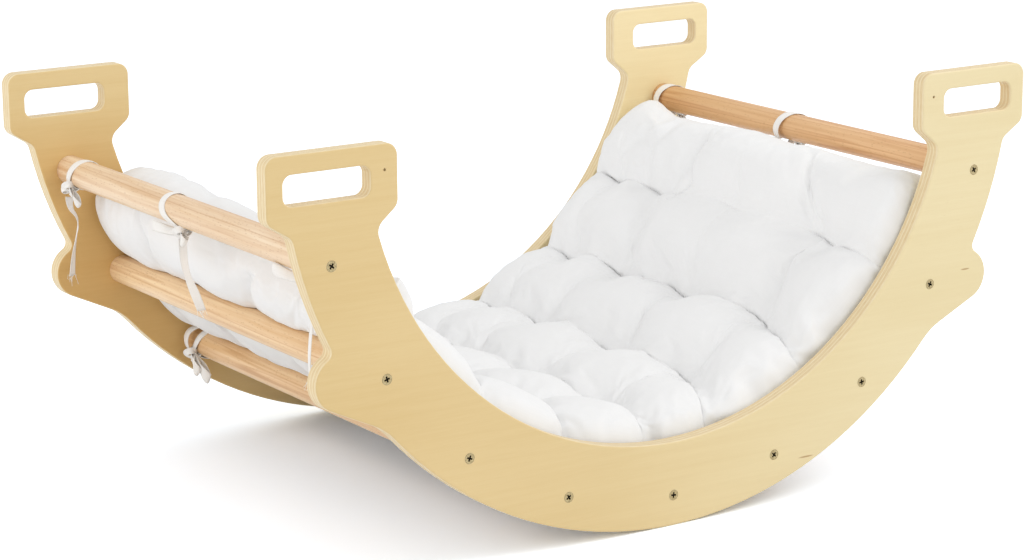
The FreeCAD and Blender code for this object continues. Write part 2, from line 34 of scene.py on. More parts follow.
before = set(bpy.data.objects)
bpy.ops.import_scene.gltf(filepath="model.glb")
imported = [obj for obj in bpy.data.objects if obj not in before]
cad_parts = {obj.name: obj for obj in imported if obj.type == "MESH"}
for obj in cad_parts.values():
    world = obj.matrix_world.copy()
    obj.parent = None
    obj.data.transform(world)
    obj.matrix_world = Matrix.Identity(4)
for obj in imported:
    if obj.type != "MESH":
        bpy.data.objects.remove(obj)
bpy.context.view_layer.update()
scene = bpy.context.scene
scene.view_settings.view_transform = "Standard"
SEED = 7
rng = np.random.default_rng(SEED)

# Camera at the photograph's viewpoint
CAMERA_PLACE = (-1.81351, -2.75067, 0.99301)
CAMERA_TURN = (1.337048, 0.006701, -0.583136)
CAMERA_LENS = 105.944
SENSOR_WIDTH = 36.0


def add_object(name, data):
    made = bpy.data.objects.new(name, data)
    scene.collection.objects.link(made)
    return made


def add_camera():
    data = bpy.data.cameras.new("view")
    data.lens = CAMERA_LENS
    data.sensor_width = SENSOR_WIDTH
    data.sensor_fit = "HORIZONTAL"
    camera = add_object("view", data)
    camera.location = CAMERA_PLACE
    camera.rotation_euler = CAMERA_TURN
    scene.camera = camera


# The frame: the arc that the rungs lie on, the rungs and the panels
ARC_CENTRE_HEIGHT = 0.462
RUNG_PITCH = math.radians(18.24)
RUNG_RADIUS = 0.016
LAST_RUNG = 9
PANEL_OUTER_FACE = 0.300
PANEL_INNER_FACE = 0.282


def rung_centre(number):
    low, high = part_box(f"rung_{number}")
    return (low + high) / 2


# Shader helpers. A Mix node's colours are its sockets 6 and 7, and its mixed colour comes out of 2.
MIX_INPUTS = (6, 7)
MIX_OUTPUT = 2
NOISE_ROUGH = 0.55


def put(tree, socket, value):
    if isinstance(value, bpy.types.NodeSocket):
        tree.links.new(value, socket)
    else:
        socket.default_value = value


def node(tree, kind, inputs=None, **settings):
    made = tree.nodes.new(f"ShaderNode{kind}")
    for key, value in settings.items():
        setattr(made, key, value)
    for key, value in (inputs or {}).items():
        put(tree, made.inputs[key], value)
    return made


def calc(tree, operation, *values):
    made = node(tree, "Math", operation=operation)
    for socket, value in zip(made.inputs, values):
        put(tree, socket, value)
    return made.outputs[0]


def times(tree, first, second):
    return calc(tree, "MULTIPLY", first, second)


def weighted(tree, values, shares):
    """Sum of values, each times its share."""
    total = 0
    for value, share in zip(values, shares):
        total = calc(tree, "MULTIPLY_ADD", value, share, total)
    return total


def smooth(tree, value, low, high):
    """0 below low and 1 above high, with a soft passage between; low may be above high."""
    inputs = {"Value": value, "From Min": low, "From Max": high}
    return node(tree, "MapRange", inputs, interpolation_type="SMOOTHSTEP").outputs[0]


def blend(tree, factor, first, second, kind="MIX"):
    made = node(tree, "Mix", data_type="RGBA", blend_type=kind)
    put(tree, made.inputs[0], factor)
    for socket, value in zip(MIX_INPUTS, (first, second)):
        put(tree, made.inputs[socket], (*value, 1) if isinstance(value, tuple) else value)
    return made.outputs[MIX_OUTPUT]


def tint(tree, factor, colour, tinge):
    return blend(tree, factor, colour, tinge, "MULTIPLY")


def stretch(tree, vector, scales):
    return node(tree, "VectorMath", {0: vector, 1: scales}, operation="MULTIPLY").outputs[0]


def noise(tree, vector, scales, detail, roughness=NOISE_ROUGH):
    inputs = {"Vector": stretch(tree, vector, scales), "Scale": 1, "Detail": detail, "Roughness": roughness}
    return node(tree, "TexNoise", inputs).outputs[0]


def specks(tree, vector, scales, size):
    """1 inside scattered small spots and 0 between them."""
    inputs = {"Vector": stretch(tree, vector, scales), "Scale": 1}
    return smooth(tree, node(tree, "TexVoronoi", inputs).outputs["Distance"], size, 0)


def object_place(tree):
    """The point's place in the frame, as one vector and as its three parts."""
    place = node(tree, "TexCoord").outputs["Object"]
    return place, node(tree, "SeparateXYZ", {0: place}).outputs


def new_material(name, shine):
    made = bpy.data.materials.new(name)
    made.use_nodes = True
    tree = made.node_tree
    shader = tree.nodes["Principled BSDF"]
    for key, value in shine.items():
        shader.inputs[key].default_value = value
    return made, tree, shader


def roughen(tree, shader, pattern, span, least):
    """Roughness from a pattern: least where it is 0, and more by the span where it is 1."""
    put(tree, shader.inputs["Roughness"], calc(tree, "MULTIPLY_ADD", pattern, span, least))


def bump(tree, shader, height, strength, distance):
    inputs = {"Height": height, "Strength": strength, "Distance": distance}
    put(tree, shader.inputs["Normal"], node(tree, "Bump", inputs).outputs[0])


# Materials. A grain is its scale each way, its detail and, where it has its own, its roughness. A span runs
# from where a change starts to where it is full. A pair is a darker and a lighter colour.

# Birch plywood
BIRCH_BROAD = ((2.6, 3, 7), 2)
BIRCH_STREAK = ((5, 30, 150), 5, 0.62)
BIRCH_FIBRE = ((40, 30, 1300), 3, 0.6)
BIRCH_TONE_SHARES = (0.5, 0.32, 0.18)
BIRCH_TONE_SPAN = (0.30, 0.70)
# Painted light and shade: the veneer runs from darker colours at the left end to paler ones at the right end,
# where more light falls
BIRCH_SHADED_LEFT_PAIR = ((0.735, 0.535, 0.245), (0.80, 0.61, 0.31))
BIRCH_LIT_RIGHT_PAIR = ((0.80, 0.67, 0.39), (0.86, 0.745, 0.47))
BIRCH_PAINTED_LIGHT_SPAN = (-0.40, 0.45)
BIRCH_ROUGH = (0.16, 0.40)
BIRCH_SHINE = {"Specular IOR Level": 0.35}
BIRCH_BUMP = (0.12, 0.0004)
# Painted shade and painted light on the back panel's inner veneer, which faces the front
INNER_FACING = -0.5
PAINTED_SHADE_ALONG_SPAN = (-0.10, -0.34)
PAINTED_SHADE_HEIGHT_SPAN = (0.43, 0.30)
PAINTED_SHADE_TINGE = (0.92, 0.78, 0.60)
PAINTED_LIGHT_ALONG_SPAN = (0.10, 0.40)
PAINTED_LIGHT_TINGE = (1.08, 1.05, 1.0)
BIRCH_PATCH = ((9, 20, 26), 2)
BIRCH_PATCH_SPAN = (0.52, 0.72)
BIRCH_FLECK = ((55, 60, 620), 0.2)
BIRCH_FLECK_SHARE = 0.3
BIRCH_DARK = (0.55, 0.36, 0.16)
# Mineral streaks in the front panel's outer face: place along the arch, height, half length, half height
MINERAL_STREAKS = ((0.4008, 0.2248, 0.007, 0.0011), (0.178, 0.0455, 0.011, 0.0011))
MINERAL_SPAN = (1.2, 0.2)
MINERAL_SHARE = 0.75
MINERAL_COLOUR = (0.42, 0.24, 0.09)
# The plies that show on the edges
PANEL_PLIES = 7
PLY_WANDER = ((24, 24, 24), 2)
PLY_WANDER_SHARE = 0.5
PLY_GRAIN = ((90, 700, 90), 3)
PLY_GRAIN_SPAN = (0.3, 0.7)
LONG_PLY_PAIR = ((0.81, 0.66, 0.40), (0.87, 0.74, 0.50))
END_PLY_PAIR = ((0.74, 0.56, 0.30), (0.81, 0.65, 0.39))
GLUE_SPAN = (0.36, 0.5)
GLUE_SHARE = 0.4
EDGE_FACING_SPAN = (0.86, 0.55)


def veneer(tree, place, axes, facing, grains):
    """Fine level grain, with painted light making it paler towards the right end and painted shade making it
    darker towards the left end.
    """
    painted_lighter = smooth(tree, axes[0], *BIRCH_PAINTED_LIGHT_SPAN)
    shade, light = (blend(tree, painted_lighter, *ends) for ends in zip(BIRCH_SHADED_LEFT_PAIR, BIRCH_LIT_RIGHT_PAIR))
    tone = weighted(tree, grains, BIRCH_TONE_SHARES)
    face = blend(tree, smooth(tree, tone, *BIRCH_TONE_SPAN), shade, light)
    # Painted shade, warm as from light bounced off the wood, low down at the left of the back panel's inner
    # veneer, and painted light at its right
    behind = calc(tree, "GREATER_THAN", axes[1], 0)
    inner = times(tree, behind, calc(tree, "LESS_THAN", facing[1], INNER_FACING))
    painted_shade_area = times(tree, smooth(tree, axes[0], *PAINTED_SHADE_ALONG_SPAN), smooth(tree, axes[2], *PAINTED_SHADE_HEIGHT_SPAN))
    # Painted shade: the inner veneer is darkened and warmed low down at the left
    face = tint(tree, times(tree, painted_shade_area, inner), face, PAINTED_SHADE_TINGE)
    # Painted light: the inner veneer is lightened towards the right end
    right = smooth(tree, axes[0], *PAINTED_LIGHT_ALONG_SPAN)
    face = tint(tree, times(tree, right, inner), face, PAINTED_LIGHT_TINGE)
    patch = smooth(tree, noise(tree, place, *BIRCH_PATCH), *BIRCH_PATCH_SPAN)
    fleck = times(tree, specks(tree, place, *BIRCH_FLECK), patch)
    face = blend(tree, times(tree, fleck, BIRCH_FLECK_SHARE), face, BIRCH_DARK)
    in_front = calc(tree, "LESS_THAN", axes[1], -PANEL_INNER_FACE)
    for along, up, half_length, half_height in MINERAL_STREAKS:
        across = calc(tree, "DIVIDE", calc(tree, "SUBTRACT", axes[0], along), half_length)
        height = calc(tree, "DIVIDE", calc(tree, "SUBTRACT", axes[2], up), half_height)
        far = calc(tree, "ADD", times(tree, across, across), times(tree, height, height))
        mark = times(tree, smooth(tree, far, *MINERAL_SPAN), in_front)
        face = blend(tree, times(tree, mark, MINERAL_SHARE), face, MINERAL_COLOUR)
    return face


def plies(tree, place, axes):
    """Plies through the panel's thickness, long grain and end grain in turn, with glue between them."""
    depth = calc(tree, "SUBTRACT", calc(tree, "ABSOLUTE", axes[1]), PANEL_INNER_FACE)
    ply = times(tree, depth, PANEL_PLIES / (PANEL_OUTER_FACE - PANEL_INNER_FACE))
    wander = calc(tree, "SUBTRACT", noise(tree, place, *PLY_WANDER), 0.5)
    ply = calc(tree, "ADD", ply, times(tree, wander, PLY_WANDER_SHARE))
    crossed = calc(tree, "MODULO", calc(tree, "FLOOR", ply), 2)
    from_middle = calc(tree, "ABSOLUTE", calc(tree, "SUBTRACT", calc(tree, "FRACT", ply), 0.5))
    grain = smooth(tree, noise(tree, place, *PLY_GRAIN), *PLY_GRAIN_SPAN)
    long_ply, end_ply = (blend(tree, grain, *pair) for pair in (LONG_PLY_PAIR, END_PLY_PAIR))
    edge = blend(tree, crossed, long_ply, end_ply)
    glue = times(tree, smooth(tree, from_middle, *GLUE_SPAN), GLUE_SHARE)
    return blend(tree, glue, edge, BIRCH_DARK)


def plywood_material():
    """Birch plywood: veneer on the faces, the plies showing on the edges."""
    made, tree, shader = new_material("birch_plywood", BIRCH_SHINE)
    place, axes = object_place(tree)
    facing = node(tree, "SeparateXYZ", {0: node(tree, "NewGeometry").outputs["Normal"]}).outputs
    grains = [noise(tree, place, *grain) for grain in (BIRCH_BROAD, BIRCH_STREAK, BIRCH_FIBRE)]
    _, streak, fibre = grains
    on_edge = smooth(tree, calc(tree, "ABSOLUTE", facing[1]), *EDGE_FACING_SPAN)
    face = veneer(tree, place, axes, facing, grains)
    put(tree, shader.inputs["Base Color"], blend(tree, on_edge, face, plies(tree, place, axes)))
    roughen(tree, shader, streak, *BIRCH_ROUGH)
    bump(tree, shader, calc(tree, "ADD", streak, fibre), *BIRCH_BUMP)
    return made


# Beech: rung 1 is the palest, by painted light, and the rungs are redder towards the right end
BEECH_BROAD = ((14, 1.6, 14), 2)
BEECH_STREAK = ((260, 7, 260), 4, 0.6)
BEECH_TONE_SHARES = (0.55, 0.45)
BEECH_TONE_SPAN = (0.32, 0.68)
BEECH_REDDER_SPAN = (-0.35, 0.40)
BEECH_PAINTED_LIT_SPAN = (-0.365, -0.39)
BEECH_PAIR = ((0.74, 0.46, 0.22), (0.93, 0.70, 0.44))
BEECH_PAINTED_LIT_PAIR = ((0.75, 0.50, 0.28), (0.94, 0.765, 0.565))
BEECH_REDDER_PAIR = ((0.62, 0.335, 0.135), (0.765, 0.475, 0.235))
# Painted highlight: the redder rungs are lightened towards the front
BEECH_HIGHLIGHT_SPAN = (0.16, -0.24)
BEECH_HIGHLIGHT_TINGE = (1.14, 1.18, 1.28)
BEECH_BAND = ((75, 1.3, 75), 2)
BEECH_BAND_SPAN = (0.54, 0.60)
BEECH_BAND_SHARE = 0.28
BEECH_BAND_TINGE = (0.80, 0.68, 0.56)
BEECH_RING = ((55, 1.1, 55), 2)
BEECH_RING_SPAN = (0.03, 0.004)
BEECH_RING_SHARE = 0.5
BEECH_RING_TINGE = (0.74, 0.58, 0.44)
BEECH_FLECK = ((480, 120, 480), 0.32)
BEECH_FLECK_SHARE = 0.5
BEECH_FLECK_COLOUR = (0.46, 0.22, 0.08)
BEECH_ROUGH = (0.18, 0.33)
BEECH_SHINE = {"Specular IOR Level": 0.45}
BEECH_BUMP = (0.1, 0.0003)


def beech_material():
    """Turned beech: grain along the rung with growth lines and short dark flecks."""
    made, tree, shader = new_material("beech", BEECH_SHINE)
    place, axes = object_place(tree)
    grains = [noise(tree, place, *grain) for grain in (BEECH_BROAD, BEECH_STREAK)]
    streak = grains[-1]
    redder = smooth(tree, axes[0], *BEECH_REDDER_SPAN)
    # Painted light: rung 1, at the left end, gets paler colours
    painted_lit_rung = smooth(tree, axes[0], *BEECH_PAINTED_LIT_SPAN)
    pair = []
    for usual, painted_lit_colour, red in zip(BEECH_PAIR, BEECH_PAINTED_LIT_PAIR, BEECH_REDDER_PAIR):
        pair.append(blend(tree, redder, blend(tree, painted_lit_rung, usual, painted_lit_colour), red))
    tone = weighted(tree, grains, BEECH_TONE_SHARES)
    wood = blend(tree, smooth(tree, tone, *BEECH_TONE_SPAN), *pair)
    # Painted highlight towards the front of the right-hand rungs
    toward_front = times(tree, smooth(tree, axes[1], *BEECH_HIGHLIGHT_SPAN), redder)
    wood = tint(tree, toward_front, wood, BEECH_HIGHLIGHT_TINGE)
    band = smooth(tree, noise(tree, place, *BEECH_BAND), *BEECH_BAND_SPAN)
    wood = tint(tree, times(tree, band, BEECH_BAND_SHARE), wood, BEECH_BAND_TINGE)
    from_ring = calc(tree, "ABSOLUTE", calc(tree, "SUBTRACT", noise(tree, place, *BEECH_RING), 0.5))
    ring = times(tree, smooth(tree, from_ring, *BEECH_RING_SPAN), BEECH_RING_SHARE)
    wood = tint(tree, ring, wood, BEECH_RING_TINGE)
    fleck = specks(tree, place, *BEECH_FLECK)
    wood = blend(tree, times(tree, fleck, BEECH_FLECK_SHARE), wood, BEECH_FLECK_COLOUR)
    put(tree, shader.inputs["Base Color"], wood)
    roughen(tree, shader, streak, *BEECH_ROUGH)
    bump(tree, shader, calc(tree, "SUBTRACT", streak, fleck), *BEECH_BUMP)
    return made


# Screws
SCREW_MOTTLE = ((700, 700, 700), 3)
SCREW_MOTTLE_SPAN = (0.35, 0.65)
SCREW_PAIR = ((0.28, 0.21, 0.10), (0.50, 0.40, 0.22))
SCREW_RECESS_SHADE_SPAN = (0.0002, 0.0009)
SCREW_RECESS_SHADE_COLOUR = (0.02, 0.015, 0.008)
SCREW_ROUGH = (0.3, 0.25)
SCREW_SHINE = {"Metallic": 0.85}
SCREW_BUMP = (0.1, 0.0002)


def screw_material():
    """Yellow passivated metal, mottled on the head, with painted shade darkening the recess."""
    made, tree, shader = new_material("screw_brass", SCREW_SHINE)
    place, axes = object_place(tree)
    mottle = noise(tree, place, *SCREW_MOTTLE)
    head = blend(tree, smooth(tree, mottle, *SCREW_MOTTLE_SPAN), *SCREW_PAIR)
    # Painted shade: everything sunk below the screw's top is darkened as the recess's shade
    depth = calc(tree, "SUBTRACT", PANEL_OUTER_FACE, calc(tree, "ABSOLUTE", axes[1]))
    recess_shade = smooth(tree, depth, *SCREW_RECESS_SHADE_SPAN)
    put(tree, shader.inputs["Base Color"], blend(tree, recess_shade, head, SCREW_RECESS_SHADE_COLOUR))
    roughen(tree, shader, mottle, *SCREW_ROUGH)
    bump(tree, shader, mottle, *SCREW_BUMP)
    return made


# Woven cotton: the width of a thread, how strongly the weave shows, and the colours of the tape and the cover
TAPE_THREAD = 0.0009
TAPE_WEAVE = 0.5
TAPE_PAIR = ((0.88, 0.85, 0.81), (0.96, 0.94, 0.91))
COVER_THREAD = 0.0008
COVER_WEAVE = 0.2
COVER_PAIR = ((0.873, 0.873, 0.873), (0.898, 0.898, 0.898))
# A band texture repeats once every tenth of pi
BAND_PERIOD = math.pi / 10
SLUBS = (((30, 1400, 1), 3), ((1400, 30, 1), 3))
COTTON_MOTTLE = ((14, 14, 1), 3)
COTTON_TONE_SHARES = (0.6, 0.4)
COTTON_TONE_SPAN = (0.36, 0.64)
COTTON_ROUGH = (0.2, 0.72)
COTTON_SHINE = {"Specular IOR Level": 0.2, "Sheen Weight": 0.12, "Sheen Roughness": 0.5}
THREAD_HEIGHT_SHARE = 0.25


def woven_material(name, colours, thread, weave):
    """Plain woven cotton: threads both ways along its cloth coordinates, with slubs and soft mottling."""
    made, tree, shader = new_material(name, COTTON_SHINE)
    cloth = node(tree, "TexCoord").outputs["UV"]
    inputs = {"Vector": cloth, "Scale": BAND_PERIOD / thread}
    warp, weft = (node(tree, "TexWave", inputs, bands_direction=way).outputs["Fac"] for way in "XY")
    slub_along, slub_across = (noise(tree, cloth, *slub) for slub in SLUBS)
    slub = times(tree, calc(tree, "ADD", slub_along, slub_across), 0.5)
    tone = weighted(tree, (slub, noise(tree, cloth, *COTTON_MOTTLE)), COTTON_TONE_SHARES)
    put(tree, shader.inputs["Base Color"], blend(tree, smooth(tree, tone, *COTTON_TONE_SPAN), *colours))
    roughen(tree, shader, slub, *COTTON_ROUGH)
    threads = calc(tree, "ADD", calc(tree, "MAXIMUM", warp, weft), slub)
    bump(tree, shader, threads, weave, thread * THREAD_HEIGHT_SHARE)
    return made


# Strips of tape, thinner at the hems; a cupped one bends about the level share of its half width, squared
TAPE_WIDTH = 0.010
TAPE_THICKNESS = 0.0009
TAPE_STEPS = 7
HEM_START_SHARE = 0.95
HEM_THICKNESS_SHARE = 0.6
CUP_LEVEL_SHARE = 0.33
SPLINE_ORDER = 3
SPLINE_STEPS = 10


def spline_points(points):
    """Points along the smooth line that has these as its control points."""
    data = bpy.data.curves.new("route", "CURVE")
    data.dimensions = "3D"
    spline = data.splines.new("NURBS")
    spline.points.add(len(points) - 1)
    for knot, point in zip(spline.points, points):
        knot.co = (*point, 1)
    spline.order_u = SPLINE_ORDER
    spline.use_endpoint_u = True
    spline.resolution_u = SPLINE_STEPS
    holder = bpy.data.objects.new("route", data)
    mesh = bpy.data.meshes.new_from_object(holder)
    line = np.array([vertex.co for vertex in mesh.vertices])
    bpy.data.objects.remove(holder)
    bpy.data.curves.remove(data)
    bpy.data.meshes.remove(mesh)
    return line


def unit(vectors):
    return vectors / np.linalg.norm(vectors, axis=-1, keepdims=True)


def spread(values, shares):
    """One value or a row of them, evenly spread along a line and read at these shares of its length."""
    values = np.atleast_1d(values)
    return np.interp(shares, np.linspace(0, 1, len(values)), values)


def strip(line, side, width, twists=0, cup=0.0, thickness=TAPE_THICKNESS, steady=False):
    """A tape along a line: its points, faces and cloth coordinates. side is its width direction at the start,
    or all along if it is steady. width, and twists in degrees, are one value or a row of them."""
    tangents = unit(np.gradient(line, axis=0))
    lengths = np.concatenate([[0], np.cumsum(np.linalg.norm(np.diff(line, axis=0), axis=1))])
    turns = np.radians(spread(twists, lengths / lengths[-1]))
    widths = spread(width, lengths / lengths[-1])
    spots = np.linspace(-1, 1, TAPE_STEPS)
    first_side = np.array(side, dtype=float)
    along = first_side
    points, cloth = [], []
    for middle, tangent, turn, wide, length in zip(line, tangents, turns, widths, lengths):
        along = first_side if steady else along
        along = unit(along - tangent * np.dot(along, tangent))
        turned = along * math.cos(turn) + np.cross(tangent, along) * math.sin(turn)
        up = np.cross(tangent, turned)
        for across, face in ((spots, 1), (spots[::-1], -1)):
            hem = np.where(np.abs(across) < HEM_START_SHARE, 1, HEM_THICKNESS_SHARE)
            lift = cup * wide * (across ** 2 - CUP_LEVEL_SHARE) + face * thickness / 2 * hem
            points.append(middle + np.outer(across, turned) * wide / 2 + np.outer(lift, up))
            cloth.append(np.stack([across * wide / 2, np.full(TAPE_STEPS, length)], axis=1))
    return np.concatenate(points), strip_faces(len(line)), np.concatenate(cloth)


def strip_faces(count):
    """Faces of a strip with this many sections, closed at both ends."""
    ring = 2 * TAPE_STEPS
    faces = []
    for start in range(0, (count - 1) * ring, ring):
        for corner in range(ring):
            following = (corner + 1) % ring
            faces.append((start + corner, start + following, start + ring + following, start + ring + corner))
    faces.append(tuple(reversed(range(ring))))
    faces.append(tuple(range((count - 1) * ring, count * ring)))
    return faces


def tape_piece(name, strips, material):
    """One piece from several strips."""
    points, corners, cloth = zip(*strips)
    starts = np.cumsum([0, *map(len, points)])
    faces = [tuple(start + np.array(face)) for start, part in zip(starts, corners) for face in part]
    return mesh_piece(name, np.concatenate(points), faces, np.concatenate(cloth), material)


def mesh_piece(name, points, faces, cloth, material):
    mesh = bpy.data.meshes.new(name)
    mesh.from_pydata([tuple(point) for point in points], [], faces)
    layer = mesh.uv_layers.new(name="cloth")
    corners = np.empty(len(mesh.loops), dtype=int)
    mesh.loops.foreach_get("vertex_index", corners)
    layer.data.foreach_set("uv", cloth[corners].ravel())
    mesh.materials.append(material)
    mesh.shade_smooth()
    mesh.update()
    piece = add_object(name, mesh)
    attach(piece, "root")
    return piece


def from_rung(rung, across):
    """A function that gives places from a rung's centre: outwards, along the rung and up."""
    centre = np.array(rung_centre(rung))
    centre[1] = across
    outward = math.copysign(1, centre[0])
    return lambda out, along, up: centre + np.array([outward * out, along, up])


# Hanging tails
TIE_INSET = 0.020
TIE_SIDE_PLACE = PANEL_INNER_FACE - TIE_INSET
TIE_MIDDLE_PLACE = 0.028
PLACES = {"back": TIE_SIDE_PLACE, "middle": TIE_MIDDLE_PLACE, "front": -TIE_SIDE_PLACE}
TAILED_RUNGS = (1, 9)
KNOT_OFFSET = 0.006
KNOT_FOOT_DROP = 0.0263
TAIL_DROPS = {"back": 0.091, "middle": 0.070, "front": 0.098}
# Each tail's route from its knot: outwards, across towards the back and up, in shares of its drop
TAIL_ROUTE_SHARES = {
    "back": [(0.06, 0, 0), (0.08, 0, -0.12), (-0.03, -0.05, -0.28), (0, -0.03, -0.48), (0.04, 0.02, -0.75),
             (0.05, 0.04, -1)],
    "middle": [(0, 0, 0), (0, 0, -0.19), (0.02, -0.06, -0.39), (0.02, -0.2, -0.6), (0, -0.37, -0.8),
               (0, -0.54, -1)],
    "front": [(0, 0, 0), (0, 0, -0.16), (0, -0.02, -0.33), (0.02, 0, -0.54), (0.02, 0.03, -0.77),
              (0, 0.04, -1)],
}
TAIL_SHIFTS = {(1, "middle"): -0.0275, (9, "middle"): -0.010, (9, "back"): -0.007, (1, "front"): -0.006}
TAIL_TWISTS = {
    "back": (0, -50, -65, -50, -35, -25),
    "middle": (0, -10, -20, 10, 0),
    "front": (-70, -78, -76, -76, -72),
}
TAIL_CUP = 0.05
# Loose threads at a tail's cut end
FRAY_COUNT = 9
FRAY_SPAN_SHARE = 0.9
FRAY_LEAN = 0.35
FRAY_LENGTH = 0.006
FRAY_LEAST_SHARE = 0.5
FRAY_ROOT_SHARE = 0.25
FRAY_WIDTH = 0.00035


def frayed_end(line, side):
    end = line[-1]
    direction = unit(end - line[-2])
    threads = []
    for share in np.linspace(-FRAY_SPAN_SHARE, FRAY_SPAN_SHARE, FRAY_COUNT):
        start = end + np.array(side) * share * TAPE_WIDTH / 2
        lean = rng.normal(0, FRAY_LEAN, (2, 3))
        reach = FRAY_LENGTH * (FRAY_LEAST_SHARE + rng.random())
        middle = start + (direction + lean[0]) * reach / 2
        tip = middle + (direction + lean[0] + lean[1]) * reach / 2
        root = start - direction * FRAY_LENGTH * FRAY_ROOT_SHARE
        threads.append(strip(spline_points([root, middle, tip]), side, FRAY_WIDTH, thickness=FRAY_WIDTH))
    return threads


def make_tail(rung, word, material):
    at = from_rung(rung, PLACES[word] + TAIL_SHIFTS.get((rung, word), 0.0))
    route = []
    for shares in TAIL_ROUTE_SHARES[word]:
        out, across, up = (share * TAIL_DROPS[word] for share in shares)
        route.append(at(KNOT_OFFSET + out, across, up - KNOT_FOOT_DROP))
    line = spline_points(route)
    tail = strip(line, (1, 0, 0), TAPE_WIDTH, TAIL_TWISTS[word], cup=TAIL_CUP)
    piece = tape_piece(f"tape_tail_rung_{rung}_{word}", [tail], material)
    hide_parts(f"tail_rung_{rung}_{word}")
    last_turn = math.radians(TAIL_TWISTS[word][-1])
    end_side = (math.cos(last_turn), math.sin(last_turn), 0)
    threads = tape_piece(f"tape_threads_rung_{rung}_{word}", frayed_end(line, end_side), material)


# Ties: the loops round the rung, the knot, the bow's ears and short ends, and the tab sewn to the cushion
LOOP_RADIUS = RUNG_RADIUS + 0.0017
LOOP_START = 22
LOOP_POINTS = 9
LOOP_GATHER_POWER = 4
LOOP_WIDTH_SHARES = (0.6, 0.9, 1.05, 1.1, 1.05, 0.9, 0.6)
LOOP_TWISTS = (0, 8, -6, 6, 0)
LOOP_CUP = -0.04
KNOT_SIZE = 0.0029
KNOT_WIDTH = 0.0075
KNOT_POINTS = 49
KNOT_DEPTH_SHARE = 1.5
KNOT_TWISTS = (0, 40, -30, 50, 0)
KNOT_CUP = 0.1
EAR_BELLY = 0.004
EAR_RISE_SHARE = 0.4
# An ear's route out and back: shares of its reach and of its belly
EAR_ROUTE_SHARES = ((0, 0), (0.45, 1), (0.95, 0.7), (1.04, 0), (0.93, -0.5), (0.4, -0.5), (0, 0))
EAR_WIDTH_SHARES = (0.5, 0.9, 1.0, 1.0, 0.9, 0.5)
EAR_TWISTS = (0, 28, -22, 20, 0)
EAR_CUP = 0.08
TAB_START_SHARE = 0.72
TAB_CUP = 0.04
# Where the tabs are sewn to the cushion: along the arch and up
TABS = {1: (-0.3705, 0.334), 9: (0.3735, 0.327)}
KNOT_DROP = (RUNG_RADIUS + KNOT_FOOT_DROP) / 2
KNOT_BELOW = (KNOT_OFFSET, 0, -KNOT_DROP)
SNUG = [(0, 0.0015, -20, 0.003)]
# Each tie: the knot's place from the rung's centre (outwards, along the rung, up); the loops (shift along the
# rung, how far one stands off, the angle where it does, tilt); the ears (reach along the rung, drop, reach
# outwards, width)
TIES = {
    (1, "back"): ((0.013, -0.010, -0.015), [(-0.021, 0.0015, -20, 0.002)],
                  [(-0.010, 0.018, -0.004, 0.008), (0.010, 0.004, 0.006, 0.007)]),
    (1, "middle"): ((KNOT_OFFSET, -0.029, -KNOT_DROP), [(0, 0.0006, -20, 0.002)],
                    [(0.038, -0.003, 0.014, 0.011), (-0.012, 0.008, 0.004, 0.009)]),
    (1, "front"): (KNOT_BELOW, SNUG, [(0.052, -0.003, 0.008, 0.012), (-0.012, 0.012, 0.004, 0.009)]),
    (9, "back"): ((KNOT_OFFSET, -0.007, -KNOT_DROP), [(0, 0.005, 205, -0.007)],
                  [(-0.016, 0.006, -0.002, 0.007)]),
    (9, "middle"): ((KNOT_OFFSET, -0.010, -KNOT_DROP), [(-0.010, 0.006, 205, -0.008)],
                    [(-0.016, 0.006, -0.002, 0.007)]),
    (9, "front"): (KNOT_BELOW, [(0, 0.004, 205, -0.004)], [(0.018, 0.006, 0.002, 0.007)]),
    (3, "back"): ((0.019, 0, -0.011), [(0.003, 0.012, 25, 0.004), (-0.008, 0.002, -20, -0.002)],
                  [(-0.030, 0.023, -0.004, 0.012), (-0.020, 0.016, 0.004, 0.011)]),
    (3, "front"): (KNOT_BELOW, SNUG, [(0.026, 0, -0.004, 0.009), (0.014, 0.002, 0.004, 0.008)]),
    (7, "back"): (KNOT_BELOW, SNUG, [(-0.026, 0.004, 0.002, 0.010), (-0.010, 0.008, 0.004, 0.009)]),
    (7, "front"): (KNOT_BELOW, SNUG, [(0.026, 0, -0.004, 0.009), (0.014, 0.002, 0.004, 0.008)]),
}


def tie_loop(at, knot_at, shift, slack, slack_angle, tilt):
    """The tape from the knot round the rung and back."""
    knot = at(*knot_at)
    first = math.degrees(math.atan2(knot_at[2], knot_at[0]))
    turns = np.radians(first + np.linspace(LOOP_START, 360 - LOOP_START, LOOP_POINTS))
    route = [knot + np.array([0, KNOT_SIZE / 2, KNOT_SIZE])]
    for turn, share in zip(turns, np.linspace(-1, 1, LOOP_POINTS)):
        radius = LOOP_RADIUS + slack * max(0, math.cos(turn - math.radians(slack_angle))) ** 2
        along = shift + (knot_at[1] - shift) * share ** LOOP_GATHER_POWER + tilt * math.cos(turn)
        route.append(at(radius * math.cos(turn), along, radius * math.sin(turn)))
    route.append(knot + np.array([0, -KNOT_SIZE / 2, KNOT_SIZE]))
    widths = TAPE_WIDTH * np.array(LOOP_WIDTH_SHARES)
    return strip(spline_points(route), (0, 1, 0), widths, LOOP_TWISTS, cup=LOOP_CUP, steady=True)


def tie_knot(knot):
    """A trefoil of tape, drawn tight."""
    sweep = np.linspace(0, 2 * math.pi, KNOT_POINTS)
    trefoil = np.stack([np.sin(sweep) + 2 * np.sin(2 * sweep), -KNOT_DEPTH_SHARE * np.sin(3 * sweep),
                        np.cos(sweep) - 2 * np.cos(2 * sweep)], axis=1)
    return strip(knot + trefoil * KNOT_SIZE, (0, 1, 0), KNOT_WIDTH, KNOT_TWISTS, cup=KNOT_CUP)


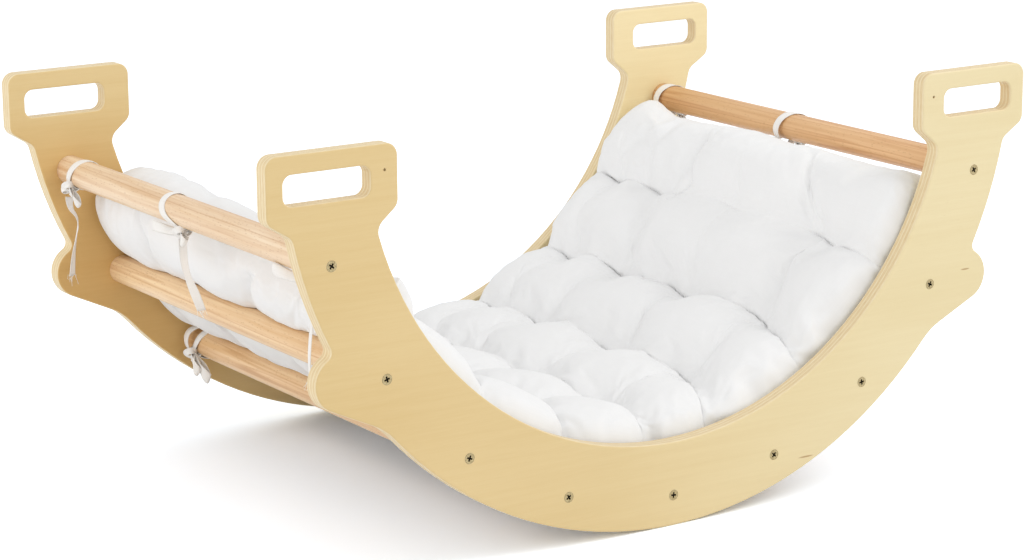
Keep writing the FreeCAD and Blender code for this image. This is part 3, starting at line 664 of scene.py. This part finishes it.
def tie_ear(knot, along, drop, out, width):
    """A folded bow loop or a short end."""
    outward = math.copysign(1, knot[0])
    reach = np.array([outward * out, along, -drop])
    belly = np.array([outward, 0, EAR_RISE_SHARE]) * EAR_BELLY
    route = [knot + reach * far + belly * full for far, full in EAR_ROUTE_SHARES]
    widths = width * np.array(EAR_WIDTH_SHARES)
    return strip(spline_points(route), unit(np.cross(reach, belly)), widths, EAR_TWISTS, cup=EAR_CUP)


def make_tie(rung, word, knot_at, loops, ears, material):
    at = from_rung(rung, PLACES[word])
    knot = at(*knot_at)
    parts = [tie_loop(at, knot_at, *loop) for loop in loops]
    parts.append(tie_knot(knot))
    parts.extend(tie_ear(knot, *ear) for ear in ears)
    if rung in TABS:
        sewn_along, sewn_up = TABS[rung]
        sewn = np.array([sewn_along, PLACES[word], sewn_up])
        start = at(-LOOP_RADIUS * TAB_START_SHARE, 0, -LOOP_RADIUS * TAB_START_SHARE)
        tab = spline_points([start, (start + sewn) / 2, sewn])
        parts.append(strip(tab, (0, 1, 0), TAPE_WIDTH, cup=TAB_CUP))
    piece = tape_piece(f"tape_tie_rung_{rung}_{word}", parts, material)
    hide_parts(f"tie_rung_{rung}_{word}")


# Cushion, in depths from the rungs' inner line towards the arc's centre
CUSHION_LINE = 0.4122
CUSHION_LEFT = math.radians(-71.4)
CUSHION_RIGHT = math.radians(70.1)
SIDE_GAP = 0.005
HALF_WIDTH = PANEL_INNER_FACE - SIDE_GAP
MIDDLE_RADIUS = 0.385
SEAM_DEPTH = 0.022
CROWN_DEPTH = 0.061
FLAT_DEPTH = 0.056
CUSHION_SAG = 0.011
SAG_CELL_SHARE = 0.4
UNEVENNESS = 0.0004
# Valleys along the rows and columns, and funnels round the tufts
ROW_VALLEY_DEPTH = 0.009
COLUMN_VALLEY_DEPTH = 0.007
VALLEY_NARROWNESS = 1.7
FUNNEL_DEPTH = 0.003
FUNNEL_REACH = 0.020
# Rims: how far in from the seam the pad reaches its full depth, and the ends' stretches with weaker columns
LEFT_END_RIM = 0.012
RIGHT_END_RIM = 0.022
SIDE_RIM = 0.012
LEFT_CALM_END = 0.085
RIGHT_CALM_END = 0.030
# The sides are drawn in at each tuft row
BACK_DRAW_IN = 0.010
FRONT_DRAW_IN = 0.004
NOTCH_NARROWNESS = 4
NOTCH_EDGE_POWER = 3
# The ends: round corners, a bow at the left whose two sides differ, pulls to the ties at the right
LEFT_CORNER = 0.012
RIGHT_CORNER = 0.036
LEFT_END_BOW = math.radians(1.9)
LEFT_END_PEAK = 0.165
LEFT_END_SPREADS = (0.088, 0.090)
LEFT_END_LIMIT = 4.0
TIE_CORNER_INSET = 0.016
TIE_PULLS = (math.radians(1.8), math.radians(0.6), math.radians(0.5))
TIE_PULL_PLACES = (TIE_SIDE_PLACE - TIE_CORNER_INSET, TIE_MIDDLE_PLACE, -TIE_SIDE_PLACE)
TIE_PULL_SPREADS = (0.030, 0.050, 0.020)
# The pad thins out towards the back tie at the right
TIE_RIM = 0.055
TIE_RIM_SPREAD = 0.060
TIE_HOLD = 0.045
TIE_HOLD_SPREAD = 0.050
# The grid's points, which crowd towards the rows and columns
CELL_STEPS = 22
CELL_STEP = 0.0050
CELL_CROWDING_SHARE = 0.8
# Tufts: rows counted from the lowest rung, places across the pad
TUFT_ROWS = 3
ROW_TUFTS = {
    3: (-0.178, -0.028, 0.148, 0.232),
    2: (-0.165, -0.012, 0.110, 0.228),
    1: (-0.160, -0.017, 0.132, 0.236),
    -3: (-0.170, -0.057, 0.156, 0.235),
}
OTHER_TUFTS = (-0.156, -0.016, 0.118, 0.232)
TUFT_HALF_SLIT = 0.020
TUFT_HELD_SHARE = 0.5
# How deep each tuft of the top row is set
TOP_TUFT_SHARES = (0.8, 0.25, 1.0, 1.0)
# The columns' creases: each starts beside a tuft and sweeps up to the next, then on above the top row
COLUMN_SWEEP = 0.055
COLUMN_BOW = 0.028
COLUMN_BOW_SPAN = 0.006
COLUMN_JOIN = math.radians(2.5)
COLUMN_JOIN_STEPS = 9
TOP_ARRIVALS = (-0.178, -0.028, 0.090, 0.225)
TOP_FEET = (-0.185, -0.045, 0.044, 0.205)
TOP_COLUMNS = (-0.130, -0.022, 0.079, 0.240)
TOP_ANGLE = math.radians(63.5)
TOP_STRENGTH_SHARES = (0.9, 0.0, 2.6, 0.0)
LEAST_STRENGTH_SHARE = 0.4
# The rows slant at their tufts and sweep down towards the front edge
SLIT_SLANT = 0.22
SLANT_SPREAD = 0.034
SLANT_REACH = 0.040
FRONT_SWEEPS = {3: -0.008, 2: -0.037, 1: -0.055, 0: -0.015}
FRONT_SWEEP_START = -0.175
FRONT_SWEEP_REACH = 0.075
# Creases: slits at the tufts, valleys between them, folds from the edges
SLIT_DEPTH = 0.008
SLIT_WIDTH = 0.0016
SLIT_FADE = 0.008
VALLEY_DEPTH = 0.0030
VALLEY_WIDTH = 0.005
VALLEY_REACH = 0.030
VALLEY_LEAST_SHARE = 0.2
CREASE_SHARP_DEPTH = 0.009
EDGE_FOLD_DEPTHS = {-1: 0.008, 1: 0.004}
EDGE_FOLD_REACHES = {-1: 0.060, 1: 0.030}
EDGE_FOLD_WIDTH = 0.005
LEFT_FOLD_SHARE = 0.4
# Small folds that fan out from the front edge at each tuft row
FAN_SLOPES = (-0.45, 0.6)
FAN_DEPTH = 0.0045
FAN_WIDTH = 0.0035
FAN_REACH = 0.035
# Gathers in the cover outside, between the rungs
GATHERS = 13
GATHER_DEPTH = 0.006
GATHER_WIDTHS = (0.003, 0.006)
GATHER_LEAN = 0.25
# Two deep folds outside at the left end: each one's place across and its lean
OUTER_FOLDS = ((0.156, 0.0), (-0.057, 0.5))
OUTER_FOLD_DEPTH = 0.009
OUTER_FOLD_WIDTHS = (0.004, 0.022)
# Filling
PAD_FRAMES = 40
PAD_CLOTH = {
    "quality": 6, "tension_stiffness": 20, "compression_stiffness": 20, "shear_stiffness": 8,
    "bending_stiffness": 0.1, "air_damping": 2, "use_pressure": True, "uniform_pressure_force": 4.0,
    "shrink_min": -0.06,
}
PAD_CAP = 0.022
LEAST_MOVE = 1e-9
PAD_RUNG_CLEARANCE = 0.0006
PAD_PANEL_CLEARANCE = 0.0012
# All of a grid but its outermost points
INNER = (slice(1, -1), slice(1, -1))


def spaced(count):
    """Shares from 0 to 1, closer together towards both ends."""
    even = np.linspace(0, 1, count + 1)
    return (1 - CELL_CROWDING_SHARE) * even + CELL_CROWDING_SHARE * (1 - np.cos(math.pi * even)) / 2


def cell_grid(edges, counts):
    """Places between a row of edges, how near each lies to a line of tufts, and which line that is. Nearness
    is 1 on the line, 0 halfway between two, and 0 from the outermost cells' middles out to the seams."""
    places, nearness, owners = [], [], []
    last_line = len(counts) - 2
    for number, (first, last, count) in enumerate(zip(edges[:-1], edges[1:], counts)):
        shares = spaced(count)[:-1]
        close = ((1 + np.cos(2 * math.pi * shares)) / 2) ** VALLEY_NARROWNESS
        line = np.where(shares < 0.5, number - 1, number)
        places.append(first + (last - first) * shares)
        nearness.append(np.where((line < 0) | (line > last_line), 0, close))
        owners.append(np.clip(line, 0, last_line))
    ends = (edges[-1], 0.0, last_line)
    return [np.append(np.concatenate(row), end) for row, end in zip((places, nearness, owners), ends)]


def rim(distance, width):
    """How full the pad is at a distance from its seam: 0 at the seam, 1 from the rim's width inwards."""
    return np.sqrt(1 - (1 - np.clip(distance / width, 0, 1)) ** 2)


def near(places, spot, reach):
    return np.exp(-((places - spot) / reach) ** 2)


def tuft_shares(row):
    """How deep each tuft of a row is set."""
    return TOP_TUFT_SHARES if row == TUFT_ROWS else (1,) * len(OTHER_TUFTS)


def lay_out_pad():
    """The pad's grid: lines of points across it, with columns of points that follow the columns of tufts."""
    pad = SimpleNamespace()
    pad.rows = np.arange(-TUFT_ROWS, TUFT_ROWS + 1)
    pad.row_angles = pad.rows * RUNG_PITCH
    pad.tufts = np.array([ROW_TUFTS.get(int(row), OTHER_TUFTS) for row in pad.rows])
    half = HALF_WIDTH
    edges = [CUSHION_LEFT, *pad.row_angles, CUSHION_RIGHT]
    angles, row_near, _ = cell_grid(edges, [CELL_STEPS] * (len(edges) - 1))
    cells = zip((-half, *OTHER_TUFTS), (*OTHER_TUFTS, half))
    pad.counts = [round((last - first) / CELL_STEP) for first, last in cells]
    pad.lines, pad.strengths = column_lines(angles, pad.row_angles, pad.tufts)
    grids = [cell_grid([-half, *crossing, half], pad.counts) for crossing in pad.lines.T]
    _, column_near, owners = grids[0]
    pad.across = np.array([places for places, _, _ in grids])
    pad.angles = np.broadcast_to(angles[:, None], pad.across.shape)
    pad.from_left = (pad.angles - CUSHION_LEFT) * MIDDLE_RADIUS
    pad.from_right = (CUSHION_RIGHT - pad.angles) * MIDDLE_RADIUS
    pad.calm = np.clip(np.minimum(pad.from_left / LEFT_CALM_END, pad.from_right / RIGHT_CALM_END), 0, 1)
    pad.row_near = row_near[:, None]
    pad.column_near = column_near * np.minimum(pad.strengths, 1)[owners].T * pad.calm
    pad.between_rungs = np.sin(math.pi * pad.angles / RUNG_PITCH) ** 2
    # Numbers of the top's points and of the bottom's, which share the seam
    pad.upper = np.arange(pad.across.size).reshape(pad.across.shape)
    pad.under = pad.upper.copy()
    pad.under[INNER] = pad.across.size + np.arange(pad.under[INNER].size).reshape(pad.under[INNER].shape)
    return pad


def column_lines(angles, row_angles, tufts):
    """Where each column's crease runs at each angle, and how strong it is."""
    arrivals = np.vstack([tufts[:-1], TOP_ARRIVALS, TOP_COLUMNS])
    feet = np.vstack([tufts[0], tufts[:-1] - COLUMN_SWEEP, TOP_FEET])
    starts = np.append(row_angles[0] - RUNG_PITCH, row_angles)
    spans = np.append(np.full(len(row_angles), RUNG_PITCH), TOP_ANGLE - row_angles[-1])
    bows = COLUMN_BOW + rng.uniform(-COLUMN_BOW_SPAN, COLUMN_BOW_SPAN, feet.shape)
    bows[[0, -1]] = 0

    def run(places):
        sections = np.clip(np.searchsorted(row_angles, places), 0, len(row_angles))
        shares = np.clip((places - starts[sections]) / spans[sections], 0, 1)[:, None]
        straight = feet[sections] + (arrivals - feet)[sections] * shares
        return straight + bows[sections] * np.sin(math.pi * shares)

    nudges = np.linspace(-COLUMN_JOIN, COLUMN_JOIN, COLUMN_JOIN_STEPS)
    lines = np.mean([run(angles + nudge) for nudge in nudges], axis=0).T
    shares = rng.uniform(LEAST_STRENGTH_SHARE, 1, (len(lines), len(row_angles) + 1))
    shares[:, -1] = TOP_STRENGTH_SHARES
    middles = np.append(row_angles[0] - RUNG_PITCH / 2, row_angles + RUNG_PITCH / 2)
    return lines, np.array([np.interp(angles, middles, row) for row in shares])


def slit_gaps(pad):
    """For each tuft: how far the points lie from its row and past its slit's ends, and how deep it is."""
    for row, angle, places in zip(pad.rows, pad.row_angles, pad.tufts):
        gap = np.abs(pad.angles - angle) * MIDDLE_RADIUS
        for spot, share in zip(places, tuft_shares(row)):
            yield gap, np.clip(np.abs(pad.across - spot) - TUFT_HALF_SLIT, 0, None), share


def pad_depths(pad):
    """Depths of the tufted top, of the bottom that sags between the rungs, and of both before tufting."""
    tied = near(pad.across, TIE_SIDE_PLACE, TIE_RIM_SPREAD) * (pad.angles > 0)
    full = rim(pad.from_left, LEFT_END_RIM) * rim(pad.from_right, RIGHT_END_RIM + TIE_RIM * tied)
    full = full * rim(HALF_WIDTH - np.abs(pad.across), SIDE_RIM)
    funnels = [share * np.exp(-np.hypot(gap, beyond) / FUNNEL_REACH) for gap, beyond, share in slit_gaps(pad)]
    dip = ROW_VALLEY_DEPTH * pad.row_near + COLUMN_VALLEY_DEPTH * pad.column_near * (1 - pad.row_near / 2)
    top = CROWN_DEPTH - dip - FUNNEL_DEPTH * np.max(funnels, axis=0)
    bottom = -CUSHION_SAG * np.sqrt(pad.between_rungs) * (1 - SAG_CELL_SHARE * pad.column_near)
    depths = (top, bottom, FLAT_DEPTH, 0)
    return [SEAM_DEPTH + (depth - SEAM_DEPTH) * full for depth in depths]


def pad_edges(pad):
    """Places across with the sides drawn in at the tuft rows, and angles with the ends bowed and tied."""
    last = TUFT_ROWS * RUNG_PITCH
    draw_in = np.where(pad.across > 0, BACK_DRAW_IN, FRONT_DRAW_IN)
    toward_edge = np.abs(pad.across / HALF_WIDTH) ** NOTCH_EDGE_POWER
    notch = draw_in * (1 - pad.between_rungs) ** NOTCH_NARROWNESS * toward_edge
    drawn = (pad.angles > -last - RUNG_PITCH / 4) & (pad.angles <= last - RUNG_PITCH / 2)
    pinched = pad.across - np.sign(pad.across) * np.where(drawn, notch, 0)
    left_part = np.clip((-pad.angles - last) / (-CUSHION_LEFT - last), 0, 1) ** 2
    right_part = np.clip((pad.angles - last) / (CUSHION_RIGHT - last), 0, 1) ** 2
    turn = pad.angles + left_part * end_shift(pad.across, True) + right_part * end_shift(pad.across, False)
    return pinched, turn


def end_shift(across, left):
    """How far each end's seam lies in from its usual angle: round at the corners, bowed at the left end, and
    drawn up to the ties at the right end."""
    radius = LEFT_CORNER if left else RIGHT_CORNER
    from_side = np.clip(HALF_WIDTH - np.abs(across), 0, radius)
    corner = radius - np.sqrt(radius ** 2 - (radius - from_side) ** 2)
    rounding = corner / MIDDLE_RADIUS
    if left:
        reach = np.where(across < LEFT_END_PEAK, *LEFT_END_SPREADS)
        bow = 1 - np.exp(-((across - LEFT_END_PEAK) / reach) ** 2 / LEFT_END_LIMIT)
        return LEFT_END_BOW * LEFT_END_LIMIT * bow + rounding
    pulls = zip(TIE_PULLS, TIE_PULL_PLACES, TIE_PULL_SPREADS)
    return sum(pull * near(across, spot, reach) for pull, spot, reach in pulls) - rounding


def row_turns(pad):
    """How far the rows turn aside: slanting at their tufts, and down towards the front edge."""
    shift = np.zeros(pad.across.shape)
    toward_front = np.clip((FRONT_SWEEP_START - pad.across) / (FRONT_SWEEP_START + HALF_WIDTH), 0, 1)
    for row, angle, places in zip(pad.rows, pad.row_angles, pad.tufts):
        along = (pad.angles - angle) * MIDDLE_RADIUS
        for spot in places:
            slant = SLIT_SLANT * (pad.across - spot) * near(pad.across, spot, SLANT_SPREAD)
            shift += slant * near(along, 0, SLANT_REACH)
        shift += FRONT_SWEEPS.get(int(row), 0) * toward_front * near(along, 0, FRONT_SWEEP_REACH)
    return shift / MIDDLE_RADIUS


def on_arc(depth, across, angle):
    radius = CUSHION_LINE - depth
    return np.stack([radius * np.sin(angle), across, ARC_CENTRE_HEIGHT - radius * np.cos(angle)], axis=-1)


def join(upper, lower):
    """Rows of values for the top's points, then for the bottom's that aren't on the seam."""
    width = 1 if upper.ndim == 2 else upper.shape[-1]
    return np.concatenate([upper.reshape(-1, width), lower[INNER].reshape(-1, width)])


def pad_faces(pad):
    faces = []
    for grid, way in ((pad.upper, 1), (pad.under, -1)):
        corners = [grid[:-1, :-1], grid[1:, :-1], grid[1:, 1:], grid[:-1, 1:]]
        faces.extend(map(tuple, np.stack(corners[::way], axis=-1).reshape(-1, len(corners))))
    return faces


def held_points(pad):
    """Numbers of the points that are sewn or tied: the tufts, the rungs' lines underneath, the pinched edges,
    the ends and the corner at the right end's back tie."""
    held = np.zeros(pad.under.max() + 1, dtype=bool)
    for number, (row, places) in enumerate(zip(pad.rows, pad.tufts), 1):
        line = number * CELL_STEPS
        for spot, share in zip(places, tuft_shares(row)):
            if share > TUFT_HELD_SHARE:
                held[pad.upper[line][np.abs(pad.across[line] - spot) < TUFT_HALF_SLIT]] = True
        held[pad.under[line]] = True
    held[pad.upper[[0, -1]]] = True
    corner = (pad.from_right < TIE_HOLD) & (pad.across > TIE_SIDE_PLACE - TIE_HOLD_SPREAD)
    held[pad.upper[corner]] = True
    held[pad.under[corner]] = True
    return np.flatnonzero(held)


def crease_depths(pad):
    """How deep the creases in the swollen pad are: crisp slits at the tufts, softer folds between."""
    depth = np.zeros(pad.across.shape)
    row_gaps = np.abs(pad.angles[..., None] - pad.row_angles) * MIDDLE_RADIUS
    toward_tuft = np.exp(-row_gaps.min(axis=-1) / VALLEY_REACH)
    toward_tuft = np.where(pad.angles > pad.row_angles[-1], 1, toward_tuft)
    valley = VALLEY_DEPTH * (VALLEY_LEAST_SHARE + (1 - VALLEY_LEAST_SHARE) * toward_tuft) * pad.calm
    for line, strength in zip(pad.lines, pad.strengths):
        beside = np.exp(-np.abs(pad.across - line[:, None]) / VALLEY_WIDTH)
        depth = np.maximum(depth, valley * strength[:, None] * beside)
    for gap, beyond, share in slit_gaps(pad):
        depth = np.maximum(depth, share * SLIT_DEPTH * np.exp(-gap / SLIT_WIDTH - beyond / SLIT_FADE))
    from_front = pad.across + HALF_WIDTH
    for number, angle in enumerate(pad.row_angles):
        share = LEFT_FOLD_SHARE if number < TUFT_ROWS - 1 else 1
        for side, fold in EDGE_FOLD_DEPTHS.items():
            from_edge = np.abs(pad.across - side * HALF_WIDTH)
            away = row_gaps[..., number] / EDGE_FOLD_WIDTH + from_edge / EDGE_FOLD_REACHES[side]
            depth = np.maximum(depth, share * fold * np.exp(-away))
        along = (pad.angles - angle) * MIDDLE_RADIUS
        for slope in FAN_SLOPES:
            away = np.abs(along - slope * from_front) / FAN_WIDTH + from_front / FAN_REACH
            depth = np.maximum(depth, share * FAN_DEPTH * np.exp(-away))
    return depth


def gather_depths(pad):
    """Gathers in the cover outside: folds between the rungs, strongest towards the ends of the pad."""
    depth = np.zeros(pad.across.shape)
    for section in range(-TUFT_ROWS - 1, TUFT_ROWS + 1):
        middle = (section + 0.5) * RUNG_PITCH
        along = (pad.angles - middle) * MIDDLE_RADIUS
        outward = np.clip(np.sign(middle) * (pad.angles - middle) / RUNG_PITCH + 0.5, 0, 1)
        inside = np.cos(np.clip((pad.angles - middle) / RUNG_PITCH, -0.5, 0.5) * math.pi)
        spots = rng.uniform(-HALF_WIDTH, HALF_WIDTH, GATHERS)
        leans = rng.normal(0, GATHER_LEAN, GATHERS)
        widths = rng.uniform(*GATHER_WIDTHS, GATHERS)
        heights = rng.uniform(0, GATHER_DEPTH, GATHERS)
        for spot, lean, width, height in zip(spots, leans, widths, heights):
            fold = np.exp(-np.abs(pad.across - spot - lean * along) / width)
            depth = np.maximum(depth, height * fold * outward * np.sqrt(inside))
        if section == -TUFT_ROWS - 1:
            for spot, lean in OUTER_FOLDS:
                beside = pad.across - spot - lean * along
                fold = np.exp(-np.abs(beside) / np.where(beside < 0, *OUTER_FOLD_WIDTHS))
                depth = np.maximum(depth, OUTER_FOLD_DEPTH * fold * inside)
    return depth


def read_points(mesh):
    points = np.empty(len(mesh.vertices) * 3)
    mesh.vertices.foreach_get("co", points)
    return points.reshape(-1, 3)


def write_points(mesh, points):
    mesh.vertices.foreach_set("co", points.ravel())
    mesh.update()


def inflate(piece, cut, held):
    """Blow the pad up like a filled cover, held where it is sewn or tied. cut is the cover's shape before
    tufting, which gives the cloth its own lengths."""
    before = read_points(piece.data)
    piece.shape_key_add(name="tufted")
    uncut = piece.shape_key_add(name="cut")
    uncut.data.foreach_set("co", cut.ravel())
    group = piece.vertex_groups.new(name="held")
    group.add([int(index) for index in held], 1.0, "REPLACE")
    cloth = piece.modifiers.new("fill", "CLOTH")
    rule = cloth.settings
    for key, value in PAD_CLOTH.items():
        setattr(rule, key, value)
    rule.rest_shape_key = uncut
    rule.effector_weights.gravity = 0
    rule.vertex_group_mass = group.name
    cloth.collision_settings.use_collision = False
    cloth.collision_settings.use_self_collision = False
    cloth.point_cache.frame_start = 1
    cloth.point_cache.frame_end = PAD_FRAMES
    for number in range(1, PAD_FRAMES + 1):
        scene.frame_set(number)
    done = bpy.data.meshes.new_from_object(piece.evaluated_get(bpy.context.evaluated_depsgraph_get()))
    after = read_points(done)
    bpy.data.meshes.remove(done)
    piece.modifiers.remove(cloth)
    piece.vertex_groups.remove(group)
    piece.shape_key_clear()
    scene.frame_set(1)
    step = after - before
    far = np.linalg.norm(step, axis=1, keepdims=True)
    write_points(piece.data, before + step * np.minimum(1, PAD_CAP / np.maximum(far, LEAST_MOVE)))


def press_creases(piece, depth):
    """Push the points away from the arc's centre line by these depths."""
    points = read_points(piece.data)
    outward = points[:, [0, 2]] - np.array([0, ARC_CENTRE_HEIGHT])
    points[:, [0, 2]] += unit(outward) * depth
    write_points(piece.data, points)


def keep_clear(piece):
    """Press the pad off the rungs and the side panels."""
    points = read_points(piece.data)
    least = RUNG_RADIUS + PAD_RUNG_CLEARANCE
    for number in range(1, LAST_RUNG + 1):
        centre = np.array(rung_centre(number))[[0, 2]]
        away = points[:, [0, 2]] - centre
        gap = np.linalg.norm(away, axis=1, keepdims=True)
        inside = gap[:, 0] < least
        points[np.ix_(inside, [0, 2])] = centre + (away / gap)[inside] * least
    side_limit = PANEL_INNER_FACE - PAD_PANEL_CLEARANCE
    points[:, 1] = np.clip(points[:, 1], -side_limit, side_limit)
    write_points(piece.data, points)


def sharpen(mesh, depth, pad):
    """Keep the creases' bottoms sharp where the pad is subdivided."""
    on_line = np.zeros(len(mesh.vertices), dtype=bool)
    on_line[pad.upper[CELL_STEPS:-1:CELL_STEPS]] = True
    on_line[pad.upper[:, np.cumsum(pad.counts)[:-1]]] = True
    ends = np.empty(len(mesh.edges) * 2, dtype=int)
    mesh.edges.foreach_get("vertices", ends)
    ends = ends.reshape(-1, 2)
    deep = depth.reshape(-1)[ends].min(axis=1)
    sharp = np.where(on_line[ends].all(axis=1), np.clip(deep / CREASE_SHARP_DEPTH, 0, 1), 0)
    mesh.attributes.new("crease_edge", "FLOAT", "EDGE").data.foreach_set("value", sharp)


def make_cushion(material):
    pad = lay_out_pad()
    top, bottom, flat_top, flat_bottom = pad_depths(pad)
    pinched, turn = pad_edges(pad)
    slanted = turn + row_turns(pad)
    points = join(on_arc(top, pinched, slanted), on_arc(bottom, pinched, turn))
    points += rng.normal(0, UNEVENNESS, points.shape)
    cut = join(on_arc(flat_top, pad.across, slanted), on_arc(flat_bottom, pad.across, turn))
    flat = np.stack([pad.angles * MIDDLE_RADIUS, pad.across], axis=-1)
    piece = mesh_piece("cushion_pad", points, pad_faces(pad), join(flat, flat), material)
    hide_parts("cushion")
    inflate(piece, cut, held_points(pad))
    creases = crease_depths(pad)
    press_creases(piece, join(creases, -gather_depths(pad)))
    keep_clear(piece)
    sharpen(piece.data, join(creases, np.zeros(creases.shape)), pad)
    smoother = piece.modifiers.new("smooth", "SUBSURF")
    smoother.levels = 1
    smoother.render_levels = 1


# Stage and light
FLOOR_HALF_SIZE = 8.0
FLOOR_GRAIN = ((40, 40, 40), 2)
FLOOR_PAIR = ((0.86, 0.86, 0.86), (0.88, 0.88, 0.88))
FLOOR_SEEN_SHADE = (1.38, 1.46, 1.56)
WORLD_STRENGTH = 0.76
# Each lamp: its place, the size of its disk and its power
LIGHTS = {
    "key": ((2.2, -1.6, 2.6), 2.2, 36),
    "left": ((-3.0, 0.4, 1.3), 2.2, 22),
    "front": ((-0.6, -3.4, 1.0), 2.5, 9),
}
LIGHT_TARGET = (0, 0, 0.2)


def seen_straight(tree):
    """1 for rays that show the stage itself: from the camera, from gloss and through glass."""
    path = node(tree, "LightPath").outputs
    seen = calc(tree, "MAXIMUM", path["Is Camera Ray"], path["Is Glossy Ray"])
    return calc(tree, "MAXIMUM", seen, path["Is Transmission Ray"])


def add_floor():
    half = FLOOR_HALF_SIZE
    corners = [(-half, -half, 0), (half, -half, 0), (half, half, 0), (-half, half, 0)]
    mesh = bpy.data.meshes.new("floor")
    mesh.from_pydata(corners, [], [(0, 1, 2, 3)])
    add_object("floor", mesh)
    made, tree, shader = new_material("pale_floor", {})
    tree.nodes.remove(shader)
    place, _ = object_place(tree)
    paper = blend(tree, noise(tree, place, *FLOOR_GRAIN), *FLOOR_PAIR)
    paper = blend(tree, seen_straight(tree), paper, FLOOR_SEEN_SHADE)
    matt = node(tree, "BsdfDiffuse", {"Color": paper}).outputs[0]
    put(tree, tree.nodes["Material Output"].inputs["Surface"], matt)
    mesh.materials.append(made)


def add_world():
    world = bpy.data.worlds.new("studio")
    world.use_nodes = True
    scene.world = world
    tree = world.node_tree
    backdrop = tree.nodes["Background"]
    backdrop.inputs["Color"].default_value = (1, 1, 1, 1)
    strength = calc(tree, "MULTIPLY_ADD", seen_straight(tree), 1 - WORLD_STRENGTH, WORLD_STRENGTH)
    put(tree, backdrop.inputs["Strength"], strength)


def add_lights():
    for name, (place, size, power) in LIGHTS.items():
        data = bpy.data.lights.new(name, "AREA")
        data.shape = "DISK"
        data.size = size
        data.energy = power
        lamp = add_object(name, data)
        lamp.location = place
        lamp.rotation_euler = (Vector(LIGHT_TARGET) - Vector(place)).to_track_quat("-Z", "Y").to_euler()


def dress_frame():
    """Give the panels, the rungs and the screws their materials."""
    plywood, beech, steel = plywood_material(), beech_material(), screw_material()
    for name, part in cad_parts.items():
        if "panel" in name:
            part.material_slots[0].material = plywood
        elif name.startswith("rung"):
            part.material_slots[0].material = beech
        elif "screws" in name:
            part.material_slots[0].material = steel


add_camera()
tape = woven_material("cotton_tape", TAPE_PAIR, TAPE_THREAD, TAPE_WEAVE)
for tailed_rung in TAILED_RUNGS:
    for tail_word in PLACES:
        make_tail(tailed_rung, tail_word, tape)
for (tied_rung, tie_word), (knot_place, tie_loops, tie_ears) in TIES.items():
    make_tie(tied_rung, tie_word, knot_place, tie_loops, tie_ears, tape)
dress_frame()
make_cushion(woven_material("white_cotton", COVER_PAIR, COVER_THREAD, COVER_WEAVE))
add_floor()
add_world()
add_lights()
